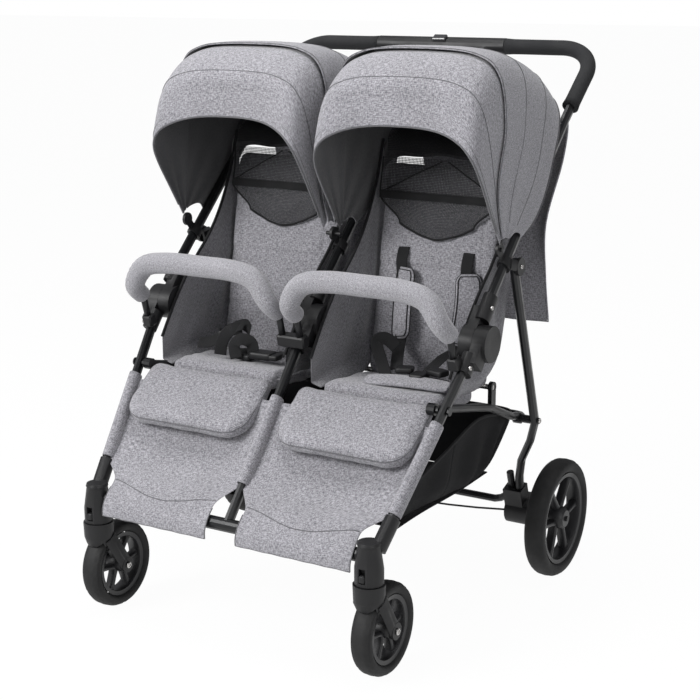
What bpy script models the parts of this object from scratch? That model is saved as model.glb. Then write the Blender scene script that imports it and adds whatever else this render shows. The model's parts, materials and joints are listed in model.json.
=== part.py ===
# Double stroller: a side-by-side folding pushchair for two children.
# Metres, +Z up, the front of the stroller towards -Y, left and right as -X and +X.
# The origin is on the ground, under the middle of the whole stroller.
import math

import bmesh
import bpy
from mathutils import Matrix, Vector

# Gaps between solids
TOUCH = 0.0004              # solids that rest on each other
RUNNING = 0.001             # parts that move past each other

# Frame planes and tube sections
FRAME_HALF = 0.345          # outer frame planes, from the middle frame
TUBE_THICK = 0.0155         # flat oval tube, measured across the stroller
TUBE_DEPTH = 0.024          # the same tube, measured in the side view
ROUND_RADIUS = 0.0075       # round tubes of the seat frame and the rear cross tube

# Side profile of the folding frame
ELBOW_Y = -0.052            # where the leg line and the handle line meet
ELBOW_Z = 0.6145
LEG_ANGLE = math.radians(49.5)
HANDLE_ANGLE = math.radians(43.2)
LEG_LENGTH = 0.480          # elbow to the lower end of an outer front leg
LEG_INSET = 0.041           # how far an outer leg runs inwards at its lower end

# Fold joint and its castings
FOLD_BELOW = 0.0835         # fold pivot, measured down the leg line
FOLD_BEHIND = 0.017
FOLD_DISC_RADIUS = 0.033
FOLD_DISC_THICK = 0.0262
COLLAR_LENGTH = 0.038
COLLAR_THICK = 0.026
COLLAR_DEPTH = 0.034

# Rear leg, its upper pivot and the seat frame's pivots
HUB_ALONG = 0.097           # rear leg pivot, measured up the handle line
HUB_BEHIND = 0.0354
HUB_RADIUS = 0.017
PIN_RADIUS = 0.004
RAIL_FRONT_BELOW = 0.2288   # seat frame pivot on the front leg
RAIL_REAR_SHARE = 0.596     # seat frame pivot on the rear leg, from its top
RAIL_X = FRAME_HALF - 0.035   # seat frame rails, inside the legs
EYE_RADIUS = 0.011

# Wheels
FRONT_AXLE_Y = -0.341
FRONT_WHEEL_X = FRAME_HALF - 0.052
FRONT_RADIUS = 0.083
FRONT_TYRE_HALF = 0.019
CASTER_TRAIL = 0.046
REAR_AXLE_Y = 0.227
REAR_WHEEL_X = FRAME_HALF + 0.020
REAR_RADIUS = 0.118
REAR_TYRE_HALF = 0.0205
AXLE_RADIUS = 0.005

# Caster
HOUSING_TOP = 0.256
HOUSING_BOTTOM = 0.182
HOUSING_TOP_RADIUS = 0.0195
HOUSING_RADIUS = 0.0255
FORK_BOTTOM = 0.136
FORK_HALF = 0.0285
STEM_RADIUS = 0.006
LOCK_WIDTH = 0.012
LOCK_HEIGHT = 0.014
LOCK_TRAVEL = 0.010

# Front cross tube, on the leg line
CROSS_BELOW = 0.510
CROSS_RADIUS = 0.0125

# Handlebar
GRIP_START = 0.452          # lower end of a grip, along the handle line
GRIP_LEAD = 0.375             # share of the straight run below the corner that stays bare
GRIP_RADIUS = 0.0152
BAR_ALONG = 0.617
BAR_BEHIND = 0.014
BAR_CORNER = 0.075
GRIP_INNER_X = 0.147
YOKE_RADIUS = 0.0165
YOKE_ARM_X = 0.112
YOKE_DROP = 0.118           # where the yoke's arms meet, below the handlebar
BUTTON_TRAVEL = 0.003

# Canopy
CLAMP_ALONG = 0.0753
CLAMP_LENGTH = 0.018
CANOPY_ALONG = 0.0777
CANOPY_FRONT = 0.0376
EAR_RADIUS = 0.014
CANOPY_WALL = 0.0025

# Seats
SEAT_X = FRAME_HALF / 2
WING_X = SEAT_X - 0.0285      # wings, from the middle of a seat
CREASE_Y = 0.034
CREASE_Z = 0.424
ROD_RADIUS = 0.005
BACK_ANGLE = math.radians(80.0)
BACK_LENGTH = 0.425
BACK_WIDTH = 2 * SEAT_X - 0.083
BACK_THICK = 0.026
PAN_WIDTH = 2 * SEAT_X - 0.087
PAN_THICK = 0.034
CALF_WIDTH = 2 * SEAT_X - 0.079
CALF_X = SEAT_X - 0.0035
CALF_THICK = 0.030

# Bumper bars
BUMPER_Y = -0.207
BUMPER_Z = 0.645
BUMPER_RADIUS = 0.0205
BUMPER_ARM_RADIUS = 0.0065
BUMPER_X = SEAT_X + 0.004
BUMPER_HALF = SEAT_X - 0.0155
RECEIVER_BELOW = 0.148

# Basket
BASKET_WALL = 0.0025

SIDES = (("left", -1), ("right", 1))
FRAMES = (("left", -1), ("centre", 0), ("right", 1))

for old in list(bpy.data.objects):
    bpy.data.objects.remove(old, do_unlink=True)

PARTS = bpy.data.collections.new("double_stroller")
CUTTERS = bpy.data.collections.new("cutters")
bpy.context.scene.collection.children.link(PARTS)
bpy.context.scene.collection.children.link(CUTTERS)


def material(name, colour, roughness, metallic=0.0):
    made = bpy.data.materials.new(name)
    made.use_nodes = True
    shader = made.node_tree.nodes["Principled BSDF"]
    shader.inputs["Base Color"].default_value = (*colour, 1.0)
    shader.inputs["Roughness"].default_value = roughness
    shader.inputs["Metallic"].default_value = metallic
    return made


GRAPHITE = material("graphite_tube", (0.035, 0.036, 0.040), 0.38, 0.6)
PLASTIC = material("black_plastic", (0.022, 0.022, 0.024), 0.55)
RIM = material("rim_plastic", (0.075, 0.076, 0.080), 0.45)
RUBBER = material("tyre_rubber", (0.018, 0.018, 0.019), 0.80)
FOAM = material("grip_foam", (0.030, 0.031, 0.033), 0.75)
FABRIC = material("grey_fabric", (0.235, 0.232, 0.240), 0.90)
NET = material("black_net", (0.012, 0.012, 0.013), 0.85)
WEBBING = material("black_webbing", (0.015, 0.015, 0.016), 0.80)
STEEL = material("steel_rod", (0.450, 0.450, 0.460), 0.35, 1.0)


def leg_point(below, x=0.0, forward=0.0):
    """Point on the leg line, a distance below the elbow."""
    y = ELBOW_Y - below * math.cos(LEG_ANGLE) - forward * math.sin(LEG_ANGLE)
    z = ELBOW_Z - below * math.sin(LEG_ANGLE) + forward * math.cos(LEG_ANGLE)
    return Vector((x, y, z))


def handle_point(along, x=0.0, forward=0.0):
    """Point on the handle line, a distance above the elbow."""
    y = ELBOW_Y + along * math.cos(HANDLE_ANGLE) - forward * math.sin(HANDLE_ANGLE)
    z = ELBOW_Z + along * math.sin(HANDLE_ANGLE) + forward * math.cos(HANDLE_ANGLE)
    return Vector((x, y, z))


LEG_NORMAL = Vector((0, -math.sin(LEG_ANGLE), math.cos(LEG_ANGLE)))
HANDLE_NORMAL = Vector((0, -math.sin(HANDLE_ANGLE), math.cos(HANDLE_ANGLE)))
FOLD_PIVOT = leg_point(FOLD_BELOW, 0, -FOLD_BEHIND)
HUB_PIVOT = handle_point(HUB_ALONG, 0, -HUB_BEHIND)
CLAMP = handle_point(CLAMP_ALONG)
CANOPY_PIVOT = handle_point(CANOPY_ALONG, 0, CANOPY_FRONT)
BAR = handle_point(BAR_ALONG, 0, -BAR_BEHIND)
REAR_AXLE = Vector((0, REAR_AXLE_Y, REAR_RADIUS))
RAIL_FRONT = leg_point(RAIL_FRONT_BELOW)
RAIL_REAR = HUB_PIVOT.lerp(REAR_AXLE, RAIL_REAR_SHARE)
REAR_DOWN = (REAR_AXLE - HUB_PIVOT).normalized()
REAR_NORMAL = Vector((0, -REAR_DOWN.z, REAR_DOWN.y))
REAR_ANGLE = math.atan2(REAR_DOWN.z, REAR_DOWN.y)
SWIVEL_Y = FRONT_AXLE_Y - CASTER_TRAIL
ROD = Vector((0, CREASE_Y, CREASE_Z))
BACK_UP = Vector((0, math.cos(BACK_ANGLE), math.sin(BACK_ANGLE)))
BACK_FRONT = Vector((0, -math.sin(BACK_ANGLE), math.cos(BACK_ANGLE)))


def outer_leg_x(below):
    """Distance of an outer front leg's axis from the middle."""
    straight = FOLD_BELOW + COLLAR_LENGTH
    share = max(0.0, below - straight) / (LEG_LENGTH - straight)
    return FRAME_HALF - LEG_INSET * share


def rear_point(height, x=0.0):
    """Point on the rear leg's line at a height above the ground."""
    return Vector((x, HUB_PIVOT.y + (HUB_PIVOT.z - height) * REAR_DOWN.y / -REAR_DOWN.z, height))


# Seat frame rail in the side view, from its front pivot to the corner of its cross tube
RAIL_PROFILE = (
    (RAIL_FRONT.y, RAIL_FRONT.z), (-0.020, 0.398), (0.0255, 0.387), (0.122, 0.3455), (0.190, 0.330),
)


def rail_height(y):
    """Height of a rail's axis at a station along the stroller."""
    for (y_a, z_a), (y_b, z_b) in zip(RAIL_PROFILE, RAIL_PROFILE[1:]):
        if y <= y_b:
            return z_a + (z_b - z_a) * (y - y_a) / (y_b - y_a)
    return RAIL_PROFILE[-1][1]


def place(name, bm, finish, cutter=False, sharp=35.0, origin=None):
    """Make an object from a bmesh, with its origin at the given point."""
    mesh = bpy.data.meshes.new(name)
    if origin is not None:
        bmesh.ops.translate(bm, vec=-Vector(origin), verts=bm.verts)
    bm.to_mesh(mesh)
    bm.free()
    mesh.shade_smooth()
    mesh.set_sharp_from_angle(angle=math.radians(sharp))
    made = bpy.data.objects.new(name, mesh)
    if origin is not None:
        made.location = origin
    if cutter:
        CUTTERS.objects.link(made)
        made.hide_render = True
        made.display_type = "WIRE"
    else:
        PARTS.objects.link(made)
        mesh.materials.append(finish)
    return made


def boolean(target, tool, operation):
    change = target.modifiers.new(operation.lower(), "BOOLEAN")
    change.object = tool
    change.operation = operation
    change.solver = "EXACT"


def join(target, *pieces):
    for bm in pieces:
        boolean(target, place(f"{target.name}_add", bm, None, cutter=True), "UNION")


def cut(target, *pieces):
    for bm in pieces:
        boolean(target, place(f"{target.name}_cut", bm, None, cutter=True), "DIFFERENCE")


def bar(start, end, thick, depth, sides=12):
    """Straight bar with an oval section, thick across the stroller."""
    start, end = Vector(start), Vector(end)
    along = (end - start).normalized()
    across = Vector((1, 0, 0)) - along * along.x
    across.normalize()
    up = along.cross(across)
    turn = Matrix((across, up, along)).transposed().to_4x4()
    size = Matrix.Diagonal((thick, depth, (end - start).length, 1))
    bm = bmesh.new()
    bmesh.ops.create_cone(bm, cap_ends=True, segments=sides, radius1=0.5, radius2=0.5, depth=1)
    bmesh.ops.transform(bm, matrix=Matrix.Translation((start + end) / 2) @ turn @ size, verts=bm.verts)
    return bm


def disc(centre, x_a, x_b, radius, sides=14):
    """Cylinder with its axis across the stroller."""
    turn = Matrix.Rotation(math.pi / 2, 4, "Y")
    size = Matrix.Diagonal((radius, radius, abs(x_b - x_a), 1))
    middle = Vector(((x_a + x_b) / 2, centre.y, centre.z))
    bm = bmesh.new()
    bmesh.ops.create_cone(bm, cap_ends=True, segments=sides, radius1=1, radius2=1, depth=1)
    bmesh.ops.transform(bm, matrix=Matrix.Translation(middle) @ turn @ size, verts=bm.verts)
    return bm


def post(centre, bottom, top, radius, sides=12):
    """Upright cylinder."""
    middle = Vector((centre[0], centre[1], (bottom + top) / 2))
    bm = bmesh.new()
    bmesh.ops.create_cone(
        bm, cap_ends=True, segments=sides, radius1=radius, radius2=radius, depth=top - bottom
    )
    bmesh.ops.translate(bm, vec=middle, verts=bm.verts)
    return bm


def block(centre, size, angle=0.0, bevel=0.0):
    """Box turned about the X axis, with its edges taken off."""
    bm = bmesh.new()
    bmesh.ops.create_cube(bm, size=1)
    bmesh.ops.scale(bm, vec=size, verts=bm.verts)
    if bevel:
        bmesh.ops.bevel(bm, geom=bm.edges, offset=bevel, affect="EDGES", segments=1, profile=0.5)
    turn = Matrix.Translation(centre) @ Matrix.Rotation(angle, 4, "X")
    bmesh.ops.transform(bm, matrix=turn, verts=bm.verts)
    return bm


def rounded(points, radius, bend=0.4):
    """Path through the points, with its corners made into arcs."""
    points = [Vector(point) for point in points]
    path = [points[0]]
    for before, corner, after in zip(points, points[1:], points[2:]):
        back = (before - corner).normalized()
        ahead = (after - corner).normalized()
        half = back.angle(ahead) / 2
        reach = radius / math.tan(half)
        centre = corner + (back + ahead).normalized() * (radius / math.sin(half))
        first = corner + back * reach - centre
        last = corner + ahead * reach - centre
        sweep = first.angle(last)
        steps = max(1, round(sweep / bend))
        for step in range(steps + 1):
            share = step / steps
            spoke = first * math.sin((1 - share) * sweep) + last * math.sin(share * sweep)
            path.append(centre + spoke / math.sin(sweep))
    path.append(points[-1])
    return path


def tube(path, radius, resolution=2, stretch=None, widths=None):
    """Tube along a path; stretch is (normal, factor) for a flat oval section."""
    data = bpy.data.curves.new("tube", "CURVE")
    data.dimensions = "3D"
    data.bevel_depth = radius
    data.bevel_resolution = resolution
    data.use_fill_caps = True
    line = data.splines.new("POLY")
    line.points.add(len(path) - 1)
    base = Vector(path[0])
    for number, point in enumerate(path):
        point = Vector(point)
        if stretch:
            normal, factor = stretch
            point = point - normal * ((point - base).dot(normal) * (1 - 1 / factor))
        line.points[number].co = (*point, 1)
        line.points[number].radius = widths[number] if widths else 1
    holder = bpy.data.objects.new("tube", data)
    CUTTERS.objects.link(holder)
    shape = holder.evaluated_get(bpy.context.evaluated_depsgraph_get())
    mesh = bpy.data.meshes.new_from_object(shape)
    bpy.data.objects.remove(holder, do_unlink=True)
    bm = bmesh.new()
    bm.from_mesh(mesh)
    bpy.data.meshes.remove(mesh)
    bmesh.ops.remove_doubles(bm, verts=bm.verts, dist=0.00001)
    if stretch:
        normal, factor = stretch
        for vert in bm.verts:
            vert.co += normal * ((vert.co - base).dot(normal) * (factor - 1))
    bmesh.ops.recalc_face_normals(bm, faces=bm.faces)
    return bm


def flat_tube(path, normal, extra=0.0, resolution=3):
    """The frame's flat oval tube; extra makes it larger, for a bore or a sleeve."""
    thin = TUBE_THICK / 2 + extra
    deep = TUBE_DEPTH / 2 + extra
    return tube(path, thin, resolution, stretch=(normal, deep / thin))


def turned(profile, steps, centre, axis="Z", flat=False):
    """Body turned from a profile of (radius, height) pairs; flat puts a facet at the bottom."""
    mesh = bpy.data.meshes.new("turned")
    ring = profile[0] == profile[-1]
    points = profile[:-1] if ring else profile
    edges = [(i, i + 1) for i in range(len(points) - 1)]
    if ring:
        edges.append((len(points) - 1, 0))
    mesh.from_pydata([(radius, 0, height) for radius, height in points], edges, [])
    holder = bpy.data.objects.new("turned", mesh)
    CUTTERS.objects.link(holder)
    screw = holder.modifiers.new("screw", "SCREW")
    screw.steps = steps
    screw.render_steps = steps
    screw.use_merge_vertices = True
    screw.merge_threshold = 0.00001
    shape = holder.evaluated_get(bpy.context.evaluated_depsgraph_get())
    made = bpy.data.meshes.new_from_object(shape)
    bpy.data.objects.remove(holder, do_unlink=True)
    bm = bmesh.new()
    bm.from_mesh(made)
    bpy.data.meshes.remove(made)
    bmesh.ops.remove_doubles(bm, verts=bm.verts, dist=0.00001)
    bmesh.ops.recalc_face_normals(bm, faces=bm.faces)
    turn = Matrix.Rotation(math.pi / 2, 4, "Y") if axis == "X" else Matrix.Identity(4)
    if flat:
        turn = turn @ Matrix.Rotation(math.pi / steps, 4, "Z")
    bmesh.ops.transform(bm, matrix=Matrix.Translation(centre) @ turn, verts=bm.verts)
    return bm


def cushion(size, cuts, crown, pull, matrix):
    """Cushion with crowned faces, and sides that draw in between the corners."""
    width, length, thick = size
    bm = bmesh.new()
    bmesh.ops.create_cube(bm, size=2)
    bmesh.ops.subdivide_edges(bm, edges=bm.edges, cuts=cuts, use_grid_fill=True)
    for vert in bm.verts:
        u, v, w = vert.co
        rise = crown * (1 - u * u) * (1 - v * v) * w
        edge = max(abs(u), abs(v)) ** 8
        vert.co.x = u * (width / 2 - pull * (1 - v * v) * abs(u) - thick * 0.2 * abs(w) * edge)
        vert.co.y = v * (length / 2 - pull * (1 - u * u) * abs(v) - thick * 0.2 * abs(w) * edge)
        vert.co.z = w * thick / 2 * (1 - 0.3 * edge) + rise
    bmesh.ops.transform(bm, matrix=matrix, verts=bm.verts)
    bmesh.ops.recalc_face_normals(bm, faces=bm.faces)
    return bm


def sheet(name, rows, wall, finish, cutter=False, origin=None):
    """Fabric sheet through a grid of points, where None leaves a place open."""
    bm = bmesh.new()
    grid = [[bm.verts.new(point) if point is not None else None for point in row] for row in rows]
    for upper, lower in zip(grid, grid[1:]):
        for corners in zip(upper, upper[1:], lower[1:], lower):
            if all(corners):
                bm.faces.new(corners)
    bmesh.ops.recalc_face_normals(bm, faces=bm.faces)
    made = place(name, bm, finish, cutter, 60.0, origin)
    solid = made.modifiers.new("wall", "SOLIDIFY")
    solid.thickness = wall
    solid.offset = 0
    solid.use_even_offset = True
    return made


def leg_path(side, extra=0.0):
    """Axis of a front leg; extra makes it longer at both ends, for a bore."""
    x = side * FRAME_HALF
    top = leg_point(FOLD_BELOW + FOLD_DISC_RADIUS + RUNNING + 0.002 - extra, x)
    if not side:
        return [top, leg_point(CROSS_BELOW - 0.004 + extra)]
    low = LEG_LENGTH + extra
    return [top, leg_point(FOLD_BELOW + COLLAR_LENGTH, x), leg_point(low, side * outer_leg_x(low))]


def handle_path(side, extra=0.0):
    """Axis of an upper tube, with the corner and the handlebar end of an outer one."""
    x = side * FRAME_HALF
    start = leg_point(FOLD_BELOW - FOLD_DISC_RADIUS - RUNNING - 0.003 + extra, x)
    if not side:
        return [start, leg_point(0), handle_point(BAR_ALONG - YOKE_DROP + extra)]
    corner = BAR + Vector((x, 0, 0))
    inner = BAR + Vector((side * (GRIP_INNER_X - 0.060 - extra), 0, 0))
    low = handle_point(GRIP_START - 0.03, x)
    return [start, leg_point(0, x)] + rounded([low, corner, inner], BAR_CORNER, 0.33)


def front_legs():
    for label, side in FRAMES:
        leg = place(f"front_leg_{label}", flat_tube(leg_path(side), LEG_NORMAL), GRAPHITE)
        if side:
            near, far = side * (FRAME_HALF - 0.035), side * (FRAME_HALF + 0.015)
            cut(leg, disc(RAIL_FRONT, near, far, PIN_RADIUS + TOUCH))
        else:
            cut(leg, disc(leg_point(CROSS_BELOW), -0.03, 0.03, CROSS_RADIUS + TOUCH))
    end = FRONT_WHEEL_X - 0.0165
    ends = [leg_point(CROSS_BELOW, -end), leg_point(CROSS_BELOW, end)]
    place("front_cross_tube", tube(ends, CROSS_RADIUS, 5), GRAPHITE)


def receiver(x, width=0.021):
    """Socket block on a lower casting, for the end of a bumper arm."""
    seat = leg_point(RECEIVER_BELOW, x, COLLAR_DEPTH / 2 + 0.007)
    return block(seat, (width, 0.021, 0.024), math.radians(16), 0.003)


def fold_castings():
    """Two castings at each fold joint, with their discs side by side on the pivot."""
    reach = FOLD_DISC_RADIUS + RUNNING
    for label, side in FRAMES:
        x = side * FRAME_HALF
        out = 1 if side >= 0 else -1
        pivot = FOLD_PIVOT + Vector((x, 0, 0))
        for level, half in (("lower", out), ("upper", -out)):
            near, far = x + half * TOUCH / 2, x + half * FOLD_DISC_THICK
            if level == "lower":
                start, end = FOLD_BELOW + reach + COLLAR_LENGTH, FOLD_BELOW + reach
                bore = flat_tube(leg_path(side, TOUCH), LEG_NORMAL, TOUCH)
            else:
                start, end = FOLD_BELOW - reach, -0.002
                bore = flat_tube(handle_path(side, TOUCH), HANDLE_NORMAL, TOUCH)
            origin = pivot if level == "upper" else None
            body = disc(pivot, near, far, FOLD_DISC_RADIUS, 24)
            casting = place(f"fold_casting_{level}_{label}", body, PLASTIC, origin=origin)
            collar = bar(leg_point(start, x), leg_point(end, x), COLLAR_THICK, COLLAR_DEPTH)
            middle = (start + end) / 2
            length = abs(middle - FOLD_BELOW)
            link_x = x + half * (TOUCH / 2 + 0.010)
            centre = leg_point((middle + FOLD_BELOW) / 2, link_x, -FOLD_BEHIND * 0.35)
            web = block(centre, (0.020, length, COLLAR_DEPTH * 0.97), LEG_ANGLE)
            join(casting, web, collar)
            if level == "lower":
                inner = BUMPER_X - BUMPER_HALF
                if side:
                    seats = (side * (BUMPER_X + BUMPER_HALF),)
                    join(casting, receiver(seats[0]))
                else:
                    seats = (inner, -inner)
                    join(casting, receiver(0, 0.021 + 2 * inner))
                arm = (bumper_foot(seat) for seat in seats)
                cut(casting, *(tube(path, BUMPER_ARM_RADIUS + TOUCH, 3) for path in arm))
            cut(casting, bore)


def bumper_foot(x):
    """Axis of a bumper arm where it goes down into its socket."""
    foot = leg_point(RECEIVER_BELOW + 0.002, x, COLLAR_DEPTH / 2 + 0.007)
    rise = Vector((0, -math.sin(math.radians(16)), math.cos(math.radians(16))))
    return [foot - rise * 0.006, foot + rise * 0.055]


def handle():
    for label, side in FRAMES:
        name = f"handle_tube_{label}" if side else "centre_upper_tube"
        place(name, flat_tube(handle_path(side), HANDLE_NORMAL), GRAPHITE)
        if side:
            path = handle_path(side)[2:-1]
            path[0] = path[0].lerp(path[1], GRIP_LEAD)
            path.append(BAR + Vector((side * GRIP_INNER_X, 0, 0)))
            grip = place(f"grip_{label}", tube(path, GRIP_RADIUS, 4), FOAM)
            cut(grip, flat_tube(handle_path(side, TOUCH), HANDLE_NORMAL, TOUCH))
    span = GRIP_INNER_X - TOUCH
    yoke = place("handle_yoke", disc(BAR, -span, span, YOKE_RADIUS, 16), PLASTIC)
    meet = handle_point(BAR_ALONG - YOKE_DROP + 0.006)
    for label, side in SIDES:
        root = BAR + Vector((side * YOKE_ARM_X, 0, 0))
        knee = BAR.lerp(meet, 0.55) + Vector((side * 0.070, 0, 0))
        foot = meet + Vector((side * 0.006, 0, 0))
        join(yoke, tube(rounded([root, knee, foot], 0.10, 0.4), 0.0105, 2))
    top = handle_point(BAR_ALONG - YOKE_DROP + 0.022)
    bottom = handle_point(BAR_ALONG - YOKE_DROP - 0.040)
    join(yoke, bar(bottom, top, 0.027, 0.034))
    for label, side in FRAMES:
        cut(yoke, flat_tube(handle_path(side, TOUCH), HANDLE_NORMAL, TOUCH))
    size = (0.030, 0.016, 0.009)
    lean = HANDLE_ANGLE - math.radians(10)
    up = Vector((0, -math.sin(lean), math.cos(lean)))
    seat = BAR + up * (YOKE_RADIUS - 0.002)
    pocket = [value + 2 * TOUCH for value in size[:2]] + [size[2] + 2 * BUTTON_TRAVEL]
    cut(yoke, block(seat, pocket, lean))
    rest = seat + up * (BUTTON_TRAVEL - 0.0005)
    place("fold_button", block(rest, size, lean, 0.0015), PLASTIC, origin=rest)


def side_hubs():
    """Clamp rings on the upper tubes, with the rear leg pivots and the canopy lugs."""
    half = CLAMP_LENGTH / 2
    for label, side in FRAMES:
        x = side * FRAME_HALF
        name = f"side_hub_{label}" if side else "canopy_clamp_centre"
        ends = [handle_point(CLAMP_ALONG + shift, x) for shift in (-half, half)]
        ring = place(name, bar(*ends, TUBE_THICK + 0.009, TUBE_DEPTH + 0.010, 12), PLASTIC)
        lug = disc(CANOPY_PIVOT, x - 0.0028, x + 0.0028, EAR_RADIUS - 0.001)
        neck = bar(CANOPY_PIVOT + Vector((x, 0, 0)), CLAMP + Vector((x, 0, 0)), 0.0048, 0.018, 8)
        pin = disc(CANOPY_PIVOT, x - 0.016, x + 0.016, PIN_RADIUS)
        if side:
            pin = disc(CANOPY_PIVOT, x, x + side * 0.0065, PIN_RADIUS)
            cheek_in, cheek_out = x + side * 0.0084, x + side * 0.0150
            cheek = disc(HUB_PIVOT, cheek_in, cheek_out, HUB_RADIUS)
            middle = (cheek_in + cheek_out) / 2
            arm = bar(HUB_PIVOT + Vector((middle, 0, 0)), CLAMP + Vector((middle, 0, 0)), 0.0062, 0.020, 8)
            axle = disc(HUB_PIVOT, x - side * 0.0095, cheek_in + side * 0.003, PIN_RADIUS)
            join(ring, arm, cheek, axle)
        join(ring, neck, lug, pin)
        cut(ring, flat_tube(handle_path(side, TOUCH), HANDLE_NORMAL, TOUCH))


# Canopy stations about the canopy pivot: angle in degrees and mid-line radius
FRONT_STATIONS = ((110.2, 0.2317), (106.5, 0.272), (103.4, 0.3065), (93.4, 0.3390), (84.0, 0.3450))
FRONT_LEANS = (13.5, 8.5, 4.0, 1.0, 0)    # how far the sides of a station turn forward, in degrees
REAR_STATIONS = ((91.5, 0.3515), (79.0, 0.3560), (66.0, 0.3640), (54.0, 0.3740), (43.4, 0.3830))
CANOPY_SECTION = (
    (-1, 0.17), (-1, 0.36), (-1, 0.62), (-0.975, 0.79), (-0.90, 0.895), (-0.75, 0.956), (-0.40, 0.992),
    (0.40, 0.992), (0.75, 0.956), (0.90, 0.895), (0.975, 0.79), (1, 0.62), (1, 0.36), (1, 0.17),
)
REAR_EDGE = (10, 18, 34, 39.5, 42, 43.4, 43.4)
FLAP_ROWS = (
    (0.270, 0.895, 0.138), (0.262, 0.80, 0.130), (0.251, 0.70, 0.122), (0.239, 0.60, 0.134), (0.230, 0.512, 0.150),
)


def canopy_point(x, angle, radius):
    turn = math.radians(angle)
    y = CANOPY_PIVOT.y + radius * math.cos(turn)
    z = CANOPY_PIVOT.z + radius * math.sin(turn)
    return Vector((x, y, z))


def canopy_shells():
    for label, side in SIDES:
        inner, outer = 0.0160, FRAME_HALF + 0.0046
        middle, half = (outer + inner) / 2, (outer - inner) / 2
        rows = []
        for number, (angle, radius) in enumerate(FRONT_STATIONS):
            lean = FRONT_LEANS[number]
            row = []
            for across, share in CANOPY_SECTION:
                reach = share if share > 0.17 else 0.05
                turn = angle + lean * abs(across) ** 2.5
                row.append(canopy_point(side * (middle + across * half), turn, radius * reach))
            rows.append(row)
        pivot = CANOPY_PIVOT + Vector((side * middle, 0, 0))
        front = sheet(f"canopy_front_{label}", rows, CANOPY_WALL, FABRIC, origin=pivot)
        wall = CANOPY_WALL / 2
        for low, high in ((0.0034, inner + wall), (FRAME_HALF + 0.0034, outer + wall)):
            join(front, disc(CANOPY_PIVOT, side * low, side * high, EAR_RADIUS))
        for low, high in ((0.001, 0.03), (FRAME_HALF, FRAME_HALF + 0.02)):
            cut(front, disc(CANOPY_PIVOT, side * low, side * high, PIN_RADIUS + TOUCH))
        inner, outer = TUBE_THICK / 2 + TOUCH + wall, FRAME_HALF + TUBE_THICK / 2 + TOUCH + wall
        middle, half = (outer + inner) / 2, (outer - inner) / 2
        rows = []
        for angle, radius in REAR_STATIONS:
            row = []
            for number, (across, share) in enumerate(CANOPY_SECTION):
                edge = REAR_EDGE[min(number, len(CANOPY_SECTION) - 1 - number)]
                first, last = REAR_STATIONS[0][0], REAR_STATIONS[-1][0]
                turn = edge + (angle - last) / (first - last) * (first - edge)
                row.append(canopy_point(side * (middle + across * half), turn, radius * share))
            rows.append(row)
        for y, z, reach in FLAP_ROWS:
            row = []
            for across, share in CANOPY_SECTION:
                inside = abs(across) <= 0.75
                point = Vector((side * (SEAT_X + 0.008 + across * reach / 0.75), y, z))
                row.append(point if inside else None)
            rows.append(row)
        sheet(f"canopy_rear_{label}", rows, CANOPY_WALL, FABRIC)


def seat_frame():
    points = [Vector((RAIL_X, y, z)) for y, z in RAIL_PROFILE]
    points += [Vector((-point.x, point.y, point.z)) for point in reversed(points)]
    path = [points[0], points[1], points[2], points[3]]
    arcs = rounded([points[3], points[4], points[5], points[6]], 0.030, 0.4)
    path += arcs[1:-1] + points[6:]
    frame = place("seat_frame", tube(path, ROUND_RADIUS, 3), GRAPHITE, origin=RAIL_FRONT)
    wide = ROUND_RADIUS
    for label, side in SIDES:
        near, far = side * (RAIL_X - wide), side * (RAIL_X + wide)
        join(frame, disc(RAIL_FRONT, near, far, EYE_RADIUS, 12))
        join(frame, disc(RAIL_REAR, near, far, EYE_RADIUS, 12))
        leg_x = outer_leg_x(RAIL_FRONT_BELOW)
        join(frame, disc(RAIL_FRONT, side * RAIL_X, side * (leg_x - TUBE_THICK / 2 - 0.0014), 0.007, 10))
        join(frame, disc(RAIL_FRONT, side * RAIL_X, side * (leg_x + 0.011), PIN_RADIUS, 8))
        join(frame, disc(RAIL_FRONT, side * (leg_x + 0.0092), side * (leg_x + 0.012), PIN_RADIUS * 2, 10))
        bracket = block((side * RAIL_X, CREASE_Y, CREASE_Z - 0.018), (0.008, 0.018, 0.044))
        join(frame, bracket)
        join(frame, disc(ROD, side * (RAIL_X - 0.0038), side * (RAIL_X + 0.0038), EYE_RADIUS, 12))
    cut(frame, disc(ROD, -RAIL_X - 0.006, RAIL_X + 0.006, ROD_RADIUS + TOUCH))
    place("seat_hinge_rod", disc(ROD, -RAIL_X - 0.003, RAIL_X + 0.003, ROD_RADIUS), STEEL, origin=ROD)


WING_WALL = 0.0024
# Wing outline in the side view: station, lower edge behind the pan, and upper edge
WING_ROWS = (
    (-0.150, None, 0.483), (-0.110, None, 0.540), (-0.070, None, 0.588), (-0.030, None, 0.626),
    (0.004, None, 0.655), (0.036, 0.4400, 0.682), (0.066, 0.4850, 0.706), (0.092, 0.5350, 0.722),
)


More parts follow.
